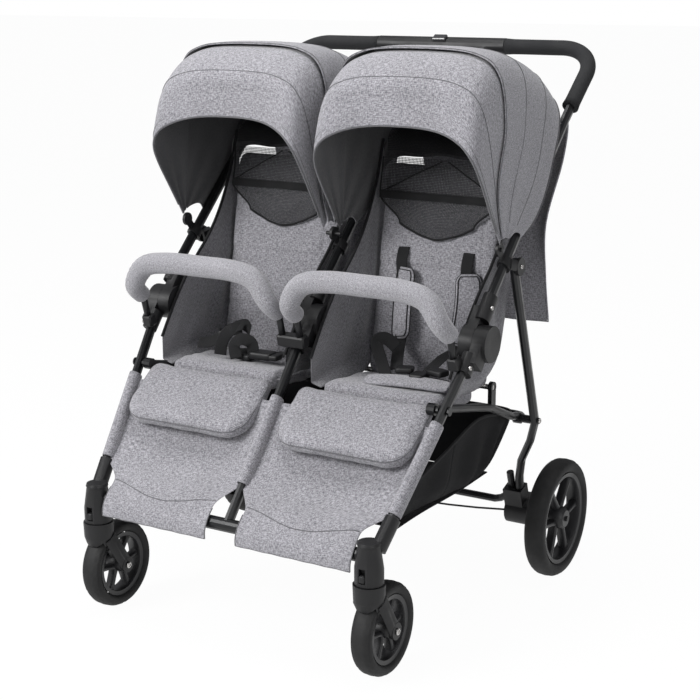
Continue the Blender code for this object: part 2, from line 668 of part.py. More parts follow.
def seats():
    for label, side in SIDES:
        x = side * SEAT_X
        front_y, rear_y = -0.163, CREASE_Y - 0.028
        tilt = math.atan2(-0.012, rear_y - front_y)
        centre = Vector((x, (front_y + rear_y) / 2, 0.4215))
        turn = Matrix.Translation(centre) @ Matrix.Rotation(tilt, 4, "X")
        size = (PAN_WIDTH, rear_y - front_y, PAN_THICK)
        pan = place(f"seat_pan_{label}", cushion(size, 3, 0.004, 0.002, turn), FABRIC, sharp=70)
        for edge in (-1, 1):
            rows = []
            for y, behind, high in WING_ROWS:
                foot = behind is None
                low = rail_height(y) + ROUND_RADIUS * 1.03 + TOUCH + WING_WALL / 2 if foot else behind
                floor = [(PAN_WIDTH / 2 - 0.012, low), (WING_X - 0.004, low)] if foot else [None, None]
                wall = [(WING_X, low + 0.004 + (high - low) * step / 2) for step in range(3)]
                row = []
                for spot in floor + wall:
                    row.append(Vector((x + edge * spot[0], y, spot[1])) if spot else None)
                rows.append(row)
            boolean(pan, sheet(f"wing_{label}_{edge}", rows, WING_WALL, None, cutter=True), "UNION")
        lean = Matrix.Rotation(BACK_ANGLE, 4, "X")
        middle = ROD + BACK_UP * (BACK_LENGTH / 2 - 0.016) + Vector((x, 0, 0))
        size = (BACK_WIDTH, BACK_LENGTH, BACK_THICK)
        hinge = ROD + Vector((x, 0, 0))
        shape = cushion(size, 3, 0.003, 0.003, Matrix.Translation(middle) @ lean)
        back = place(f"seat_back_{label}", shape, FABRIC, sharp=70, origin=hinge)
        reach = BACK_WIDTH / 2 + 0.03
        cut(back, disc(ROD, x - reach, x + reach, ROD_RADIUS + TOUCH))
        hinge = Vector((side * CALF_X, -0.1735, 0.4360))
        slope = math.radians(35)
        size = (CALF_WIDTH, 0.126, CALF_THICK)
        ahead = Vector((0, -math.cos(slope), -math.sin(slope)))
        rise = Vector((0, -math.sin(slope), math.cos(slope)))
        centre = hinge + ahead * (size[1] / 2 + 0.003) + rise * 0.002
        turn = Matrix.Translation(centre) @ Matrix.Rotation(slope, 4, "X")
        place(f"calf_rest_{label}", cushion(size, 3, 0.008, 0.003, turn), FABRIC, sharp=70, origin=hinge)


def leg_panels():
    """Fabric behind the calves and under the feet, sleeved onto the three legs."""
    # Above the cross tube along the leg, ahead of the legs' plane, and share of the full width
    stations = (
        (0.134, -0.003, 1.0), (0.102, 0.0, 1.0), (0.070, 0.004, 0.55),
        (0.035, 0.0115, 0.20), (0.012, 0.0150, 0.10), (-0.006, 0.0150, 0.06), (-0.022, 0.0105, 0.10),
        (-0.033, 0.002, 0.20),
    )
    sleeve = 0.0032
    body = None
    for label, side in FRAMES:
        x = side * FRAME_HALF
        first, last = RAIL_FRONT_BELOW + 0.0262, CROSS_BELOW - 0.078
        if side:
            path = [leg_point(below, side * outer_leg_x(below)) for below in (first, last)]
        else:
            path = [leg_point(below) for below in (first, last)]
        shape = flat_tube(path, LEG_NORMAL, sleeve)
        if body is None:
            body = place("leg_panel", shape, FABRIC, sharp=50)
        else:
            join(body, shape)
        if side:
            rows = []
            for above, forward, spread in stations:
                below = CROSS_BELOW - above
                out = outer_leg_x(below) if spread == 1.0 else FRAME_HALF - 0.089 + spread * 0.04
                into = 0.0 if spread == 1.0 else 0.034 - spread * 0.034
                reach = [into + (out - into) * step / 4 for step in range(5)]
                rows.append([leg_point(below, side * value, forward) for value in reach])
            boolean(body, sheet(f"panel_{label}", rows, 0.0030, None, cutter=True), "UNION")
    for label, side in FRAMES:
        cut(body, flat_tube(leg_path(side), LEG_NORMAL, TOUCH))


def bumpers():
    for label, side in SIDES:
        x = side * BUMPER_X
        left, right = x - side * BUMPER_HALF, x + side * BUMPER_HALF
        foot = bumper_foot(0)
        joint = foot[1]
        path = []
        for edge, end in ((-1, left), (1, right)):
            low = Vector((end, joint.y, joint.z))
            knee = Vector((end + (x - end) * 0.03, -0.212, 0.596))
            shoulder = Vector((end + (x - end) * 0.20, -0.214, 0.634))
            inner = Vector((end + (x - end) * 0.52, -0.210, 0.6445))
            ends = [low, knee, shoulder, inner]
            path = path + ends if edge < 0 else path + [Vector((x, BUMPER_Y, BUMPER_Z))] + ends[::-1]
        widths = [0.80, 0.92, 1.0, 1.0, 1.0, 1.0, 1.0, 0.92, 0.80]
        smooth = []
        sizes = []
        for number in range(len(path) - 1):
            before, after = path[max(number - 1, 0)], path[min(number + 2, len(path) - 1)]
            for share in (0.0, 0.5):
                a, b = path[number], path[number + 1]
                bow = (2 * a + (b - before) * share + (2 * before - 5 * a + 4 * b - after) * share**2
                       + (3 * a - before - 3 * b + after) * share**3) / 2
                smooth.append(bow)
                sizes.append(widths[number] + (widths[number + 1] - widths[number]) * share)
        smooth.append(path[-1])
        sizes.append(widths[-1])
        base = Vector((x, foot[0].y, foot[0].z))
        body = place(f"bumper_{label}", tube(smooth, BUMPER_RADIUS, 3, widths=sizes), FABRIC, sharp=50, origin=base)
        for edge in (-1, 1):
            low, high = bumper_foot(x + edge * BUMPER_HALF)
            join(body, tube([low + (high - low) * 0.02, high + (high - low) * 0.35], BUMPER_ARM_RADIUS, 3))


def harnesses():
    """The right harness is laid out on its seat, the left one lies in a heap on the pan."""
    laid_harness("right", 1)
    heaped_harness("left", -1)


def heaped_harness(label, side):
    """Buckle, folded straps and one standing loop of webbing."""
    x = side * SEAT_X
    hinge = ROD + Vector((x, 0, 0))
    heap = block((x - 0.004, -0.088, 0.4579), (0.060, 0.040, 0.028), 0.0, 0.006)
    body = place(f"harness_{label}", heap, WEBBING, origin=hinge)
    join(body, block((x + 0.052, -0.090, 0.4554), (0.070, 0.034, 0.020), 0.0, 0.004))
    loop = [(-0.095, -0.062, 0.462), (-0.050, -0.076, 0.482), (-0.006, -0.094, 0.500), (-0.012, -0.098, 0.460)]
    path = [Vector((x + across, y, z)) for across, y, z in loop]
    join(body, tube(path, 0.004, 1, stretch=(Vector((0, -0.35, 0.94)).normalized(), 2.8)))


def laid_harness(label, side):
    """Shoulder pads, straps, buckle and crotch pad of one seat, in one piece."""
    x = side * SEAT_X
    face = BACK_THICK / 2 + 0.0115
    hinge = ROD + Vector((x, 0, 0))

    def on_back(up, across, lift=0.0):
        return ROD + BACK_UP * up + BACK_FRONT * (face + lift) + Vector((x + across, 0, 0))

    buckle = Vector((x, -0.064, 0.466))
    body = place(f"harness_{label}", block(buckle, (0.052, 0.040, 0.018), 0.3, 0.004), WEBBING, origin=hinge)
    for edge in (-1, 1):
        top, low = on_back(0.215, edge * 0.070, -0.002), on_back(0.075, edge * 0.080, 0.012)
        join(body, bar(low, top, 0.050, 0.014, 10))
        join(body, bar(on_back(0.20, edge * 0.068), on_back(0.285, edge * 0.062, -0.002), 0.024, 0.005, 6))
        join(body, bar(low - Vector((0, 0, -0.012)), buckle + Vector((edge * 0.016, 0, 0.002)), 0.024, 0.006, 6))
    crotch = Vector((x, -0.128, 0.4490))
    join(body, bar(buckle + Vector((0, 0.006, -0.004)), crotch, 0.044, 0.010, 10))


def casters():
    for label, side in SIDES:
        x = side * FRONT_WHEEL_X
        profile = [
            (0, HOUSING_BOTTOM), (HOUSING_RADIUS, HOUSING_BOTTOM), (HOUSING_RADIUS, HOUSING_BOTTOM + 0.028),
            (HOUSING_TOP_RADIUS + 0.003, HOUSING_TOP - 0.026), (HOUSING_TOP_RADIUS, HOUSING_TOP - 0.006),
            (HOUSING_TOP_RADIUS + 0.0015, HOUSING_TOP - 0.005), (HOUSING_TOP_RADIUS, HOUSING_TOP), (0, HOUSING_TOP),
        ]
        centre = Vector((x, SWIVEL_Y, 0))
        housing = place(f"caster_housing_{label}", turned(profile, 16, centre), PLASTIC)
        into = [leg_point(below, side * outer_leg_x(below)) for below in (0.436, 0.495)]
        join(housing, bar(*into, 0.026, 0.034))
        cut(housing, flat_tube(leg_path(side, TOUCH), LEG_NORMAL, TOUCH))
        near, far = FRONT_WHEEL_X - 0.053, FRONT_WHEEL_X - 0.0161
        cross = [leg_point(CROSS_BELOW, side * reach) for reach in (near, far)]
        cut(housing, tube(cross, CROSS_RADIUS + TOUCH, 5))
        cut(housing, post(centre, HOUSING_BOTTOM - 0.01, HOUSING_TOP - 0.030, STEM_RADIUS + TOUCH))
        slot_y = SWIVEL_Y - HOUSING_RADIUS + 0.004
        slot_height = LOCK_HEIGHT + LOCK_TRAVEL + 2 * RUNNING
        slot_low = HOUSING_BOTTOM + 0.006
        slot = Vector((x, slot_y, slot_low + slot_height / 2))
        cut(housing, block(slot, (LOCK_WIDTH + 2 * TOUCH, 0.013, slot_height)))
        rest = Vector((x, slot_y + 0.0005, slot_low + RUNNING + LOCK_HEIGHT / 2))
        place(f"swivel_lock_{label}", block(rest, (LOCK_WIDTH, 0.0115, LOCK_HEIGHT), 0, 0.002), PLASTIC, origin=rest)
        top = HOUSING_BOTTOM - RUNNING
        profile = [
            (0, FORK_BOTTOM), (FORK_HALF - 0.006, FORK_BOTTOM), (FORK_HALF - 0.001, FORK_BOTTOM + 0.016),
            (FORK_HALF, top - 0.004), (FORK_HALF, top),
            (STEM_RADIUS, top), (STEM_RADIUS, HOUSING_TOP - 0.032), (0, HOUSING_TOP - 0.032),
        ]
        axle = Vector((x, FRONT_AXLE_Y, FRONT_RADIUS))
        fork = place(f"caster_fork_{label}", turned(profile, 16, centre), PLASTIC, origin=centre)
        inside = FRONT_TYRE_HALF + 0.0016
        for edge in (-1, 1):
            mid = x + edge * (inside + FORK_HALF) / 2
            wide = FORK_HALF - inside
            high = Vector((mid, SWIVEL_Y + 0.002, FORK_BOTTOM + 0.016))
            low = Vector((mid, FRONT_AXLE_Y, FRONT_RADIUS))
            join(fork, bar(low, high, wide, 0.030, 12))
            join(fork, disc(low, mid - wide / 2, mid + wide / 2, 0.0155, 18))
        cut(fork, disc(axle, x - inside, x + inside, FRONT_RADIUS + 0.003, 24))
        join(fork, disc(axle, x - FORK_HALF - 0.002, x + FORK_HALF + 0.002, AXLE_RADIUS, 12))


def wheel(name, centre, radius, half, depth, hub, origin):
    """Tyre, and a rim with three pairs of spokes that spread from the hub."""
    inner = radius - depth
    steps = 26 if radius > 0.1 else 24
    tread = radius / math.cos(math.pi / steps)
    profile = [
        (inner, -half * 0.80), (inner + depth * 0.50, -half), (radius - depth * 0.20, -half * 0.86),
        (tread, -half * 0.40), (tread, half * 0.40),
        (radius - depth * 0.20, half * 0.86), (inner + depth * 0.50, half), (inner, half * 0.80),
        (inner, -half * 0.80),
    ]
    place(name.replace("wheel", "tyre"), turned(profile, steps, centre, "X", True), RUBBER, origin=origin)
    outer = inner - TOUCH
    ring = [
        (outer - 0.007, -half * 0.62), (outer, -half * 0.74), (outer, half * 0.74), (outer - 0.007, half * 0.62),
        (outer - 0.007, -half * 0.62),
    ]
    rim = place(name.replace("wheel", "rim"), turned(ring, steps, centre, "X", True), RIM, origin=origin)
    join(rim, disc(centre, centre.x - half, centre.x + half, hub))
    for number in range(3):
        for spread in (-1, 1):
            root = math.radians(90 + 120 * number + spread * 10)
            tip = math.radians(90 + 120 * number + spread * 33)
            start = centre + Vector((0, math.cos(root), math.sin(root))) * (hub * 0.72)
            end = centre + Vector((0, math.cos(tip), math.sin(tip))) * (outer - 0.0035)
            join(rim, bar(start, end, half * 0.95, 0.0085, 6))
    cut(rim, disc(centre, centre.x - half - 0.01, centre.x + half + 0.01, AXLE_RADIUS + TOUCH, 16))


def wheels():
    for label, side in SIDES:
        centre = Vector((side * FRONT_WHEEL_X, FRONT_AXLE_Y, FRONT_RADIUS))
        wheel(f"front_wheel_{label}", centre, FRONT_RADIUS, FRONT_TYRE_HALF, 0.023, 0.016, centre)
        centre = Vector((side * REAR_WHEEL_X, REAR_AXLE_Y, REAR_RADIUS))
        wheel(f"rear_wheel_{label}", centre, REAR_RADIUS, REAR_TYRE_HALF, 0.028, 0.023, centre)


# Rear leg: height, and how far it stands inside the outer frame plane
KINK = ((0.330, 0.0), (0.288, 0.015), (0.240, 0.040), (0.200, 0.050), (0.157, 0.0545))
REAR_FOOT = 0.148
REAR_INSET = 0.055
DRUM_X = FRAME_HALF - 0.083


def rear_path(side, extra=0.0):
    """Axis of a rear leg; extra makes it longer at its lower end, for a bore."""
    top = HUB_PIVOT - REAR_DOWN * 0.011 + Vector((side * FRAME_HALF, 0, 0))
    foot = rear_point(REAR_FOOT - extra, side * (FRAME_HALF - REAR_INSET))
    return [top] + [rear_point(height, side * (FRAME_HALF - inset)) for height, inset in KINK] + [foot]


def rear_frame():
    cross = []
    for height, inset in ((0.206, 0.0695), (0.160, 0.0695), (0.135, 0.105)):
        cross.append(rear_point(height, FRAME_HALF - inset))
    cross += [Vector((-point.x, point.y, point.z)) for point in reversed(cross)]
    path = rounded(cross, 0.024, 0.45)
    place("rear_cross_tube", tube(path, ROUND_RADIUS, 3), GRAPHITE)
    for label, side in SIDES:
        leg = place(f"rear_leg_{label}", flat_tube(rear_path(side), REAR_NORMAL), GRAPHITE, origin=HUB_PIVOT)
        join(leg, disc(RAIL_REAR, side * (RAIL_X + ROUND_RADIUS + TOUCH), side * (FRAME_HALF + 0.001), 0.008, 16))
        join(leg, disc(RAIL_REAR, side * (FRAME_HALF + 0.005), side * (FRAME_HALF + 0.0105), 0.006, 16))
        cut(leg, disc(HUB_PIVOT, side * (FRAME_HALF - 0.015), side * (FRAME_HALF + 0.015), PIN_RADIUS + TOUCH))
        drum_in, drum_out = side * DRUM_X, side * (REAR_WHEEL_X - REAR_TYRE_HALF - 0.0012)
        housing = place(f"brake_housing_{label}", disc(REAR_AXLE, drum_in, drum_out, 0.027, 20), PLASTIC)
        middle = rear_point(0.150, side * (DRUM_X + 0.0195))
        join(housing, block(middle, (0.039, 0.050, 0.034), REAR_ANGLE))
        axle_out = side * (REAR_WHEEL_X + REAR_TYRE_HALF + 0.004)
        join(housing, disc(REAR_AXLE, drum_out - side * 0.01, axle_out, AXLE_RADIUS, 16))
        cut(housing, flat_tube(rear_path(side, TOUCH), REAR_NORMAL, TOUCH))
        cut(housing, tube(path, ROUND_RADIUS + TOUCH, 3))
        if side > 0:
            lug = Vector((DRUM_X + 0.028, REAR_AXLE_Y + 0.031, REAR_RADIUS + 0.004))
            join(housing, block(lug, (0.030, 0.020, 0.018)))
            hinge = Vector((DRUM_X + 0.028, REAR_AXLE_Y + 0.034, REAR_RADIUS + 0.004))
            plate = hinge + Vector((0, 0.031, 0.004))
            pedal = place("brake_pedal", block(plate, (0.052, 0.034, 0.008), 0, 0.002), PLASTIC, origin=hinge)
            for ear in (-1, 1):
                spot = hinge + Vector((ear * 0.0185, 0.0115, 0.002))
                join(pedal, block(spot, (0.0055, 0.031, 0.012)))
            join(pedal, disc(hinge, hinge.x - 0.019, hinge.x + 0.019, 0.003, 10))
            cut(housing, disc(hinge, hinge.x - 0.02, hinge.x + 0.02, 0.003 + TOUCH, 10))
    ends = DRUM_X - TOUCH
    cable = []
    for step in range(9):
        share = step / 4 - 1
        cable.append(Vector((share * ends, REAR_AXLE_Y - 0.012, 0.100 + 0.018 * share * share)))
    place("brake_cable", tube(cable, 0.002, 1), WEBBING)


def basket():
    """Open fabric basket under the seats, hung in front of the seat frame's cross tube."""
    rear = 0.190 - ROUND_RADIUS - TOUCH - BASKET_WALL / 2
    loops = (
        (0.010, -0.245, rear, (0.300, 0.366, 0.342)),
        (0.016, -0.255, rear, (0.288, 0.325, 0.322)),
        (0.025, -0.258, 0.130, (0.262, 0.262, 0.262)),
        (0.040, -0.250, 0.110, (0.236, 0.230, 0.232)),
    )
    bm = bmesh.new()
    rings = []
    for inside, front, back, (low, mid, high) in loops:
        half = RAIL_X - inside
        stations = (
            (front, low, 0.012), (front * 0.5, (low + mid) / 2 + 0.006, 0), (0.0, mid, 0),
            (back * 0.55, (mid + high) / 2, 0), (back - 0.030, high, 0.003), (back, high, 0.038),
        )
        right = [(half - inset, y, z) for y, z, inset in stations]
        ring = right + [(0.10, back, high), (-0.10, back, high)]
        ring += [(-x, y, z) for x, y, z in reversed(right)] + [(-0.10, front, low), (0.10, front, low)]
        rings.append([bm.verts.new(point) for point in ring])
    for upper, lower in zip(rings, rings[1:]):
        for n in range(len(upper)):
            m = (n + 1) % len(upper)
            bm.faces.new((upper[n], upper[m], lower[m], lower[n]))
    last = rings[-1]
    middle = [bm.verts.new((0, sum(v.co.y for v in last) / len(last), 0.226))]
    for n in range(len(last)):
        bm.faces.new((last[n], last[(n + 1) % len(last)], middle[0]))
    bmesh.ops.recalc_face_normals(bm, faces=bm.faces)
    made = place("basket", bm, NET, sharp=60)
    solid = made.modifiers.new("wall", "SOLIDIFY")
    solid.thickness = BASKET_WALL
    solid.offset = 0
    solid.use_even_offset = True


front_legs()
fold_castings()
handle()
side_hubs()
canopy_shells()
seat_frame()
seats()
leg_panels()
bumpers()
harnesses()
casters()
wheels()
rear_frame()
basket()
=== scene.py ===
# %% [markdown]
# # A double stroller, dressed for its photograph
# The frame, castings and wheels of this side-by-side stroller come from a CAD model that also moves in a
# physics engine. This lesson gives that model its looks: heather grey cloth, padded seats, canopies with
# piping, webbing, foam grips, tyres with a tread, and satin tubes. Every new piece sits where the CAD solid
# is, so the stroller still folds, swivels and reclines.

# %% Load the CAD model
import math

import bmesh
import bpy
from mathutils import Matrix, Vector, noise
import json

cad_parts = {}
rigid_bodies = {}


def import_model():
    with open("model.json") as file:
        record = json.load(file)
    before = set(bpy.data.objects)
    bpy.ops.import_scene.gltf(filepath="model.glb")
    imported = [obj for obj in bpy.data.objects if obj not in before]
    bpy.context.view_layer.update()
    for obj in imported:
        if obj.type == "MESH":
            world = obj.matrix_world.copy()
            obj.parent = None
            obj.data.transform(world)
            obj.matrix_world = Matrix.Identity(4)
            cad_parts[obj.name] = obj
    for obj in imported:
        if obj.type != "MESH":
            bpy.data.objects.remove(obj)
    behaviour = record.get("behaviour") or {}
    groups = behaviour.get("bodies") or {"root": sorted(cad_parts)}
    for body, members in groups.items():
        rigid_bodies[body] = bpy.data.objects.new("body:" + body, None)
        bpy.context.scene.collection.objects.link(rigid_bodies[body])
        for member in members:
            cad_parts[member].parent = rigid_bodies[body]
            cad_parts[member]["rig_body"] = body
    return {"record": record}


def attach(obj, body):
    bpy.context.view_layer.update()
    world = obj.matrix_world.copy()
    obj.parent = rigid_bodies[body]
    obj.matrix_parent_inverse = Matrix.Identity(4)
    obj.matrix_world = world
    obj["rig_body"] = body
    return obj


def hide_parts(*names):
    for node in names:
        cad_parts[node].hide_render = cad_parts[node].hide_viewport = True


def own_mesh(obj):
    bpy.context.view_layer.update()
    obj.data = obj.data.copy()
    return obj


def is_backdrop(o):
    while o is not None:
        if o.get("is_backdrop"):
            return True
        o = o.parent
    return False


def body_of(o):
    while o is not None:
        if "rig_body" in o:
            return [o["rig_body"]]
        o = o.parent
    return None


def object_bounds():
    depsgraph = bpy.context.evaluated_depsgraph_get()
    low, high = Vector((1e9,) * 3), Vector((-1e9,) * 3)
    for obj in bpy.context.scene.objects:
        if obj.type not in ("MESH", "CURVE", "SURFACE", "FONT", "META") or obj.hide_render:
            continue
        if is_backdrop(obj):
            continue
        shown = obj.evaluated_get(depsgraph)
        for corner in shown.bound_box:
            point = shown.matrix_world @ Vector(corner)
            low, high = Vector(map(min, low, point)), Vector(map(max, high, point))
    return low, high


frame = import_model()
CAD_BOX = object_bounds()
SIDES = (("left", -1), ("right", 1))
print("CAD box", [[round(value, 3) for value in corner] for corner in CAD_BOX])

# %% [markdown]
# ## Camera
# The photograph was taken from the front right, a little above the canopies, with a long lens. A long lens
# keeps the far seat almost as large as the near one, so the camera stands well back.

# %% Camera
data = bpy.data.cameras.new("camera")
data.lens = 78.11
data.sensor_width = 36
camera = bpy.data.objects.new("camera", data)
bpy.context.scene.collection.objects.link(camera)
turn = Matrix.Rotation(math.radians(31.224), 4, "Z") @ Matrix.Rotation(math.radians(75.985), 4, "X")
roll = Matrix.Rotation(math.radians(-0.156), 4, "Z")
camera.matrix_world = Matrix.Translation((1.4956, -2.4306, 1.1757)) @ turn @ roll
bpy.context.scene.camera = camera

# %% [markdown]
# ## Studio
# A product photograph of this kind is lit by large soft boxes, so shadows are weak and wide. Three big area
# lamps and a pale world do that. The white backdrop is white only for rays that come from the camera or
# from a reflection, so it doesn't flood the cloth with light.

# %% Node helpers
def plug(tree, node, inputs):
    """Set a node's inputs; each takes a value, or the output of another node."""
    for key, value in inputs.items():
        if isinstance(value, bpy.types.NodeSocket):
            tree.links.new(value, node.inputs[key])
        else:
            node.inputs[key].default_value = value


def wire(tree, kind, inputs=None, **settings):
    made = tree.nodes.new(kind)
    for key, value in settings.items():
        setattr(made, key, value)
    plug(tree, made, inputs or {})
    return made


def math_node(tree, operation, first, second=0.0):
    return wire(tree, "ShaderNodeMath", {0: first, 1: second}, operation=operation).outputs[0]


def times(tree, first, second):
    return math_node(tree, "MULTIPLY", first, second)


def mean(tree, first, second):
    return math_node(tree, "ADD", times(tree, first, 0.5), times(tree, second, 0.5))


def blend_colour(tree, share, first, second):
    return wire(tree, "ShaderNodeMix", {0: share, 6: first, 7: second}, data_type="RGBA").outputs[2]


def ranged(tree, value, low, high, to_low=0.0, to_high=1.0, clamp=True):
    """The range from low to high, stretched to the range from to_low to to_high."""
    inputs = {0: value, 1: low, 2: high, 3: to_low, 4: to_high}
    return wire(tree, "ShaderNodeMapRange", inputs, clamp=clamp).outputs[0]


def emptied(holder):
    """Node tree of a world or a material, without its nodes."""
    holder.use_nodes = True
    holder.node_tree.nodes.clear()
    return holder.node_tree


def placed(name, bm):
    """Object in the scene from a bmesh."""
    mesh = bpy.data.meshes.new(name)
    bm.to_mesh(mesh)
    bm.free()
    made = bpy.data.objects.new(name, mesh)
    bpy.context.scene.collection.objects.link(made)
    return made


# %% World, floor and lamps
def studio_mask(tree):
    """1 for rays from the camera, a mirror or a pane, 0 for light that falls on things."""
    path = wire(tree, "ShaderNodeLightPath")
    seen = math_node(tree, "MAXIMUM", path.outputs["Is Camera Ray"], path.outputs["Is Glossy Ray"])
    return math_node(tree, "MAXIMUM", seen, path.outputs["Is Transmission Ray"])


world = bpy.data.worlds.new("studio")
bpy.context.scene.world = world
tree = emptied(world)
seen = studio_mask(tree)
shiny = wire(tree, "ShaderNodeLightPath").outputs["Is Glossy Ray"]
backs = blend_colour(tree, shiny, (1, 1, 1, 1), (0.30, 0.30, 0.31, 1))
sky = blend_colour(tree, seen, (0.30, 0.305, 0.32, 1), backs)
backdrop = wire(tree, "ShaderNodeBackground", {"Color": sky, "Strength": 1.0})
wire(tree, "ShaderNodeOutputWorld", {"Surface": backdrop.outputs[0]})

bm = bmesh.new()
bmesh.ops.create_grid(bm, x_segments=1, y_segments=1, size=30)
floor = placed("floor", bm)
floor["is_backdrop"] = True
paper = bpy.data.materials.new("paper")
tree = emptied(paper)
seen = studio_mask(tree)
matte = wire(tree, "ShaderNodeBsdfDiffuse", {"Color": (0.80, 0.80, 0.80, 1)})
white = wire(tree, "ShaderNodeEmission", {"Color": (1, 1, 1, 1), "Strength": 1.0})
share = times(tree, seen, 0.97)
mixed = wire(tree, "ShaderNodeMixShader", {0: share, 1: matte.outputs[0], 2: white.outputs[0]})
wire(tree, "ShaderNodeOutputMaterial", {"Surface": mixed.outputs[0]})
floor.data.materials.append(paper)

for name, spot, aim, size, power in (
    ("key", (-1.6, -3.1, 2.5), (0, 0, 0.5), 1.9, 172),
    ("fill", (2.9, -1.9, 1.7), (0, 0, 0.5), 2.2, 34),
    ("top", (0.0, -0.2, 3.5), (0, 0, 0.6), 1.8, 70),
):
    lamp = bpy.data.lights.new(name, "AREA")
    lamp.shape = "DISK"
    lamp.size = size
    lamp.energy = power
    holder = bpy.data.objects.new(name, lamp)
    holder.location = spot
    holder.rotation_euler = (Vector(aim) - Vector(spot)).to_track_quat("-Z", "Y").to_euler()
    bpy.context.scene.collection.objects.link(holder)

# %% [markdown]
# ## Shared effects as node groups
# Three effects turn up on several materials. The heather weave crosses two sets of threads whose shade
# changes along their length, which gives the flecks of a melange cloth. The moulded grain is the fine orange
# peel of plastic and rubber. Dust settles on what faces up. Each is a group that is built once.

# %% Group helper
def effect(name, inputs, outputs):
    """Shader group with named sockets; returns the tree and its input and output nodes."""
    tree = bpy.data.node_groups.new(name, "ShaderNodeTree")
    for label, kind, value in inputs:
        socket = tree.interface.new_socket(label, in_out="INPUT", socket_type=kind)
        if value is not None:
            socket.default_value = value
    for label, kind in outputs:
        tree.interface.new_socket(label, in_out="OUTPUT", socket_type=kind)
    return tree, tree.nodes.new("NodeGroupInput"), tree.nodes.new("NodeGroupOutput")


def use(tree, group, inputs):
    return wire(tree, "ShaderNodeGroup", inputs, node_tree=group).outputs


# %% Heather weave
VALUE, COLOUR, VECTOR = "NodeSocketFloat", "NodeSocketColor", "NodeSocketVector"
WEAVE, start, end = effect(
    "heather_weave",
    (("Surface", VECTOR, None), ("Light", COLOUR, (0.5, 0.5, 0.5, 1)), ("Dark", COLOUR, (0.1, 0.1, 0.1, 1)),
     ("Threads", VALUE, 900.0), ("Flecks", VALUE, 260.0), ("Contrast", VALUE, 0.5)),
    (("Colour", COLOUR), ("Height", VALUE)),
)
axes = wire(WEAVE, "ShaderNodeSeparateXYZ", {0: start.outputs["Surface"]})
turns = times(WEAVE, start.outputs["Threads"], math.pi)
warp, weft = (math_node(WEAVE, "SINE", times(WEAVE, axes.outputs[axis], turns)) for axis in (0, 1))
over = times(WEAVE, warp, weft)
shades = []
for stretch in ((1.0, 0.28, 1.0), (0.22, 1.0, 1.0)):
    along = wire(WEAVE, "ShaderNodeVectorMath", {0: start.outputs["Surface"], 1: stretch},
                 operation="MULTIPLY")
    fleck = wire(WEAVE, "ShaderNodeTexNoise", {"Vector": along.outputs[0], "Scale": start.outputs["Flecks"],
                                               "Detail": 2.0, "Roughness": 0.65})
    shades.append(fleck.outputs[0])
picked = math_node(WEAVE, "GREATER_THAN", over, 0.0)
thread = wire(WEAVE, "ShaderNodeMix", {0: picked, 2: shades[0], 3: shades[1]}).outputs[0]
tone = mean(WEAVE, thread, mean(WEAVE, *shades))
spread = ranged(WEAVE, tone, 0.36, 0.64, -0.5, 0.5, clamp=False)
share = math_node(WEAVE, "ADD", times(WEAVE, spread, start.outputs["Contrast"]), 0.5)
tint = blend_colour(WEAVE, share, start.outputs["Dark"], start.outputs["Light"])
plug(WEAVE, end, {"Colour": tint, "Height": math_node(WEAVE, "MULTIPLY_ADD", over, 0.5)})

# %% Moulded grain and dust
GRAIN, start, end = effect(
    "moulded_grain",
    (("Surface", VECTOR, None), ("Cells", VALUE, 900.0)),
    (("Height", VALUE), ("Patches", VALUE)),
)
cells = wire(GRAIN, "ShaderNodeTexVoronoi", {"Vector": start.outputs[0], "Scale": start.outputs[1]})
patches = wire(GRAIN, "ShaderNodeTexNoise", {"Vector": start.outputs[0], "Scale": 22.0, "Detail": 4.0})
plug(GRAIN, end, {"Height": cells.outputs["Distance"], "Patches": patches.outputs[0]})

DUST, start, end = effect(
    "settled_dust", (("Surface", VECTOR, None), ("Amount", VALUE, 0.3)), (("Mask", VALUE),),
)
facing = wire(DUST, "ShaderNodeNewGeometry")
upward = wire(DUST, "ShaderNodeSeparateXYZ", {0: facing.outputs["Normal"]})
clouds = wire(DUST, "ShaderNodeTexNoise", {"Vector": start.outputs[0], "Scale": 34.0, "Detail": 6.0,
                                           "Roughness": 0.7})
lying = ranged(DUST, upward.outputs[2], -0.4, 1.0, 0.15, 1.0)
spots = ranged(DUST, clouds.outputs[0], 0.42, 0.72)
plug(DUST, end, {"Mask": times(DUST, times(DUST, lying, spots), start.outputs["Amount"])})
print("groups", [group.name for group in bpy.data.node_groups])

# %% [markdown]
# ## Cloth
# The cloth is a grey melange with light and dark flecks a few millimetres long. A pattern on cloth follows
# the surface, so each cloth piece has its own map in metres, named cloth. A soft large noise in the bump
# gives the shallow unevenness of fabric that was filled or pulled tight.

# %% Cloth materials
def surface(name):
    """New material, its node tree and its main shader."""
    made = bpy.data.materials.new(name)
    made.use_nodes = True
    return made, made.node_tree, made.node_tree.nodes["Principled BSDF"]


def cloth_place(tree):
    return wire(tree, "ShaderNodeUVMap", None, uv_map="cloth").outputs[0]


def bump(tree, height, distance, strength=1.0, normal=None):
    inputs = {"Height": height, "Distance": distance, "Strength": strength}
    if normal is not None:
        inputs["Normal"] = normal
    return wire(tree, "ShaderNodeBump", inputs).outputs[0]


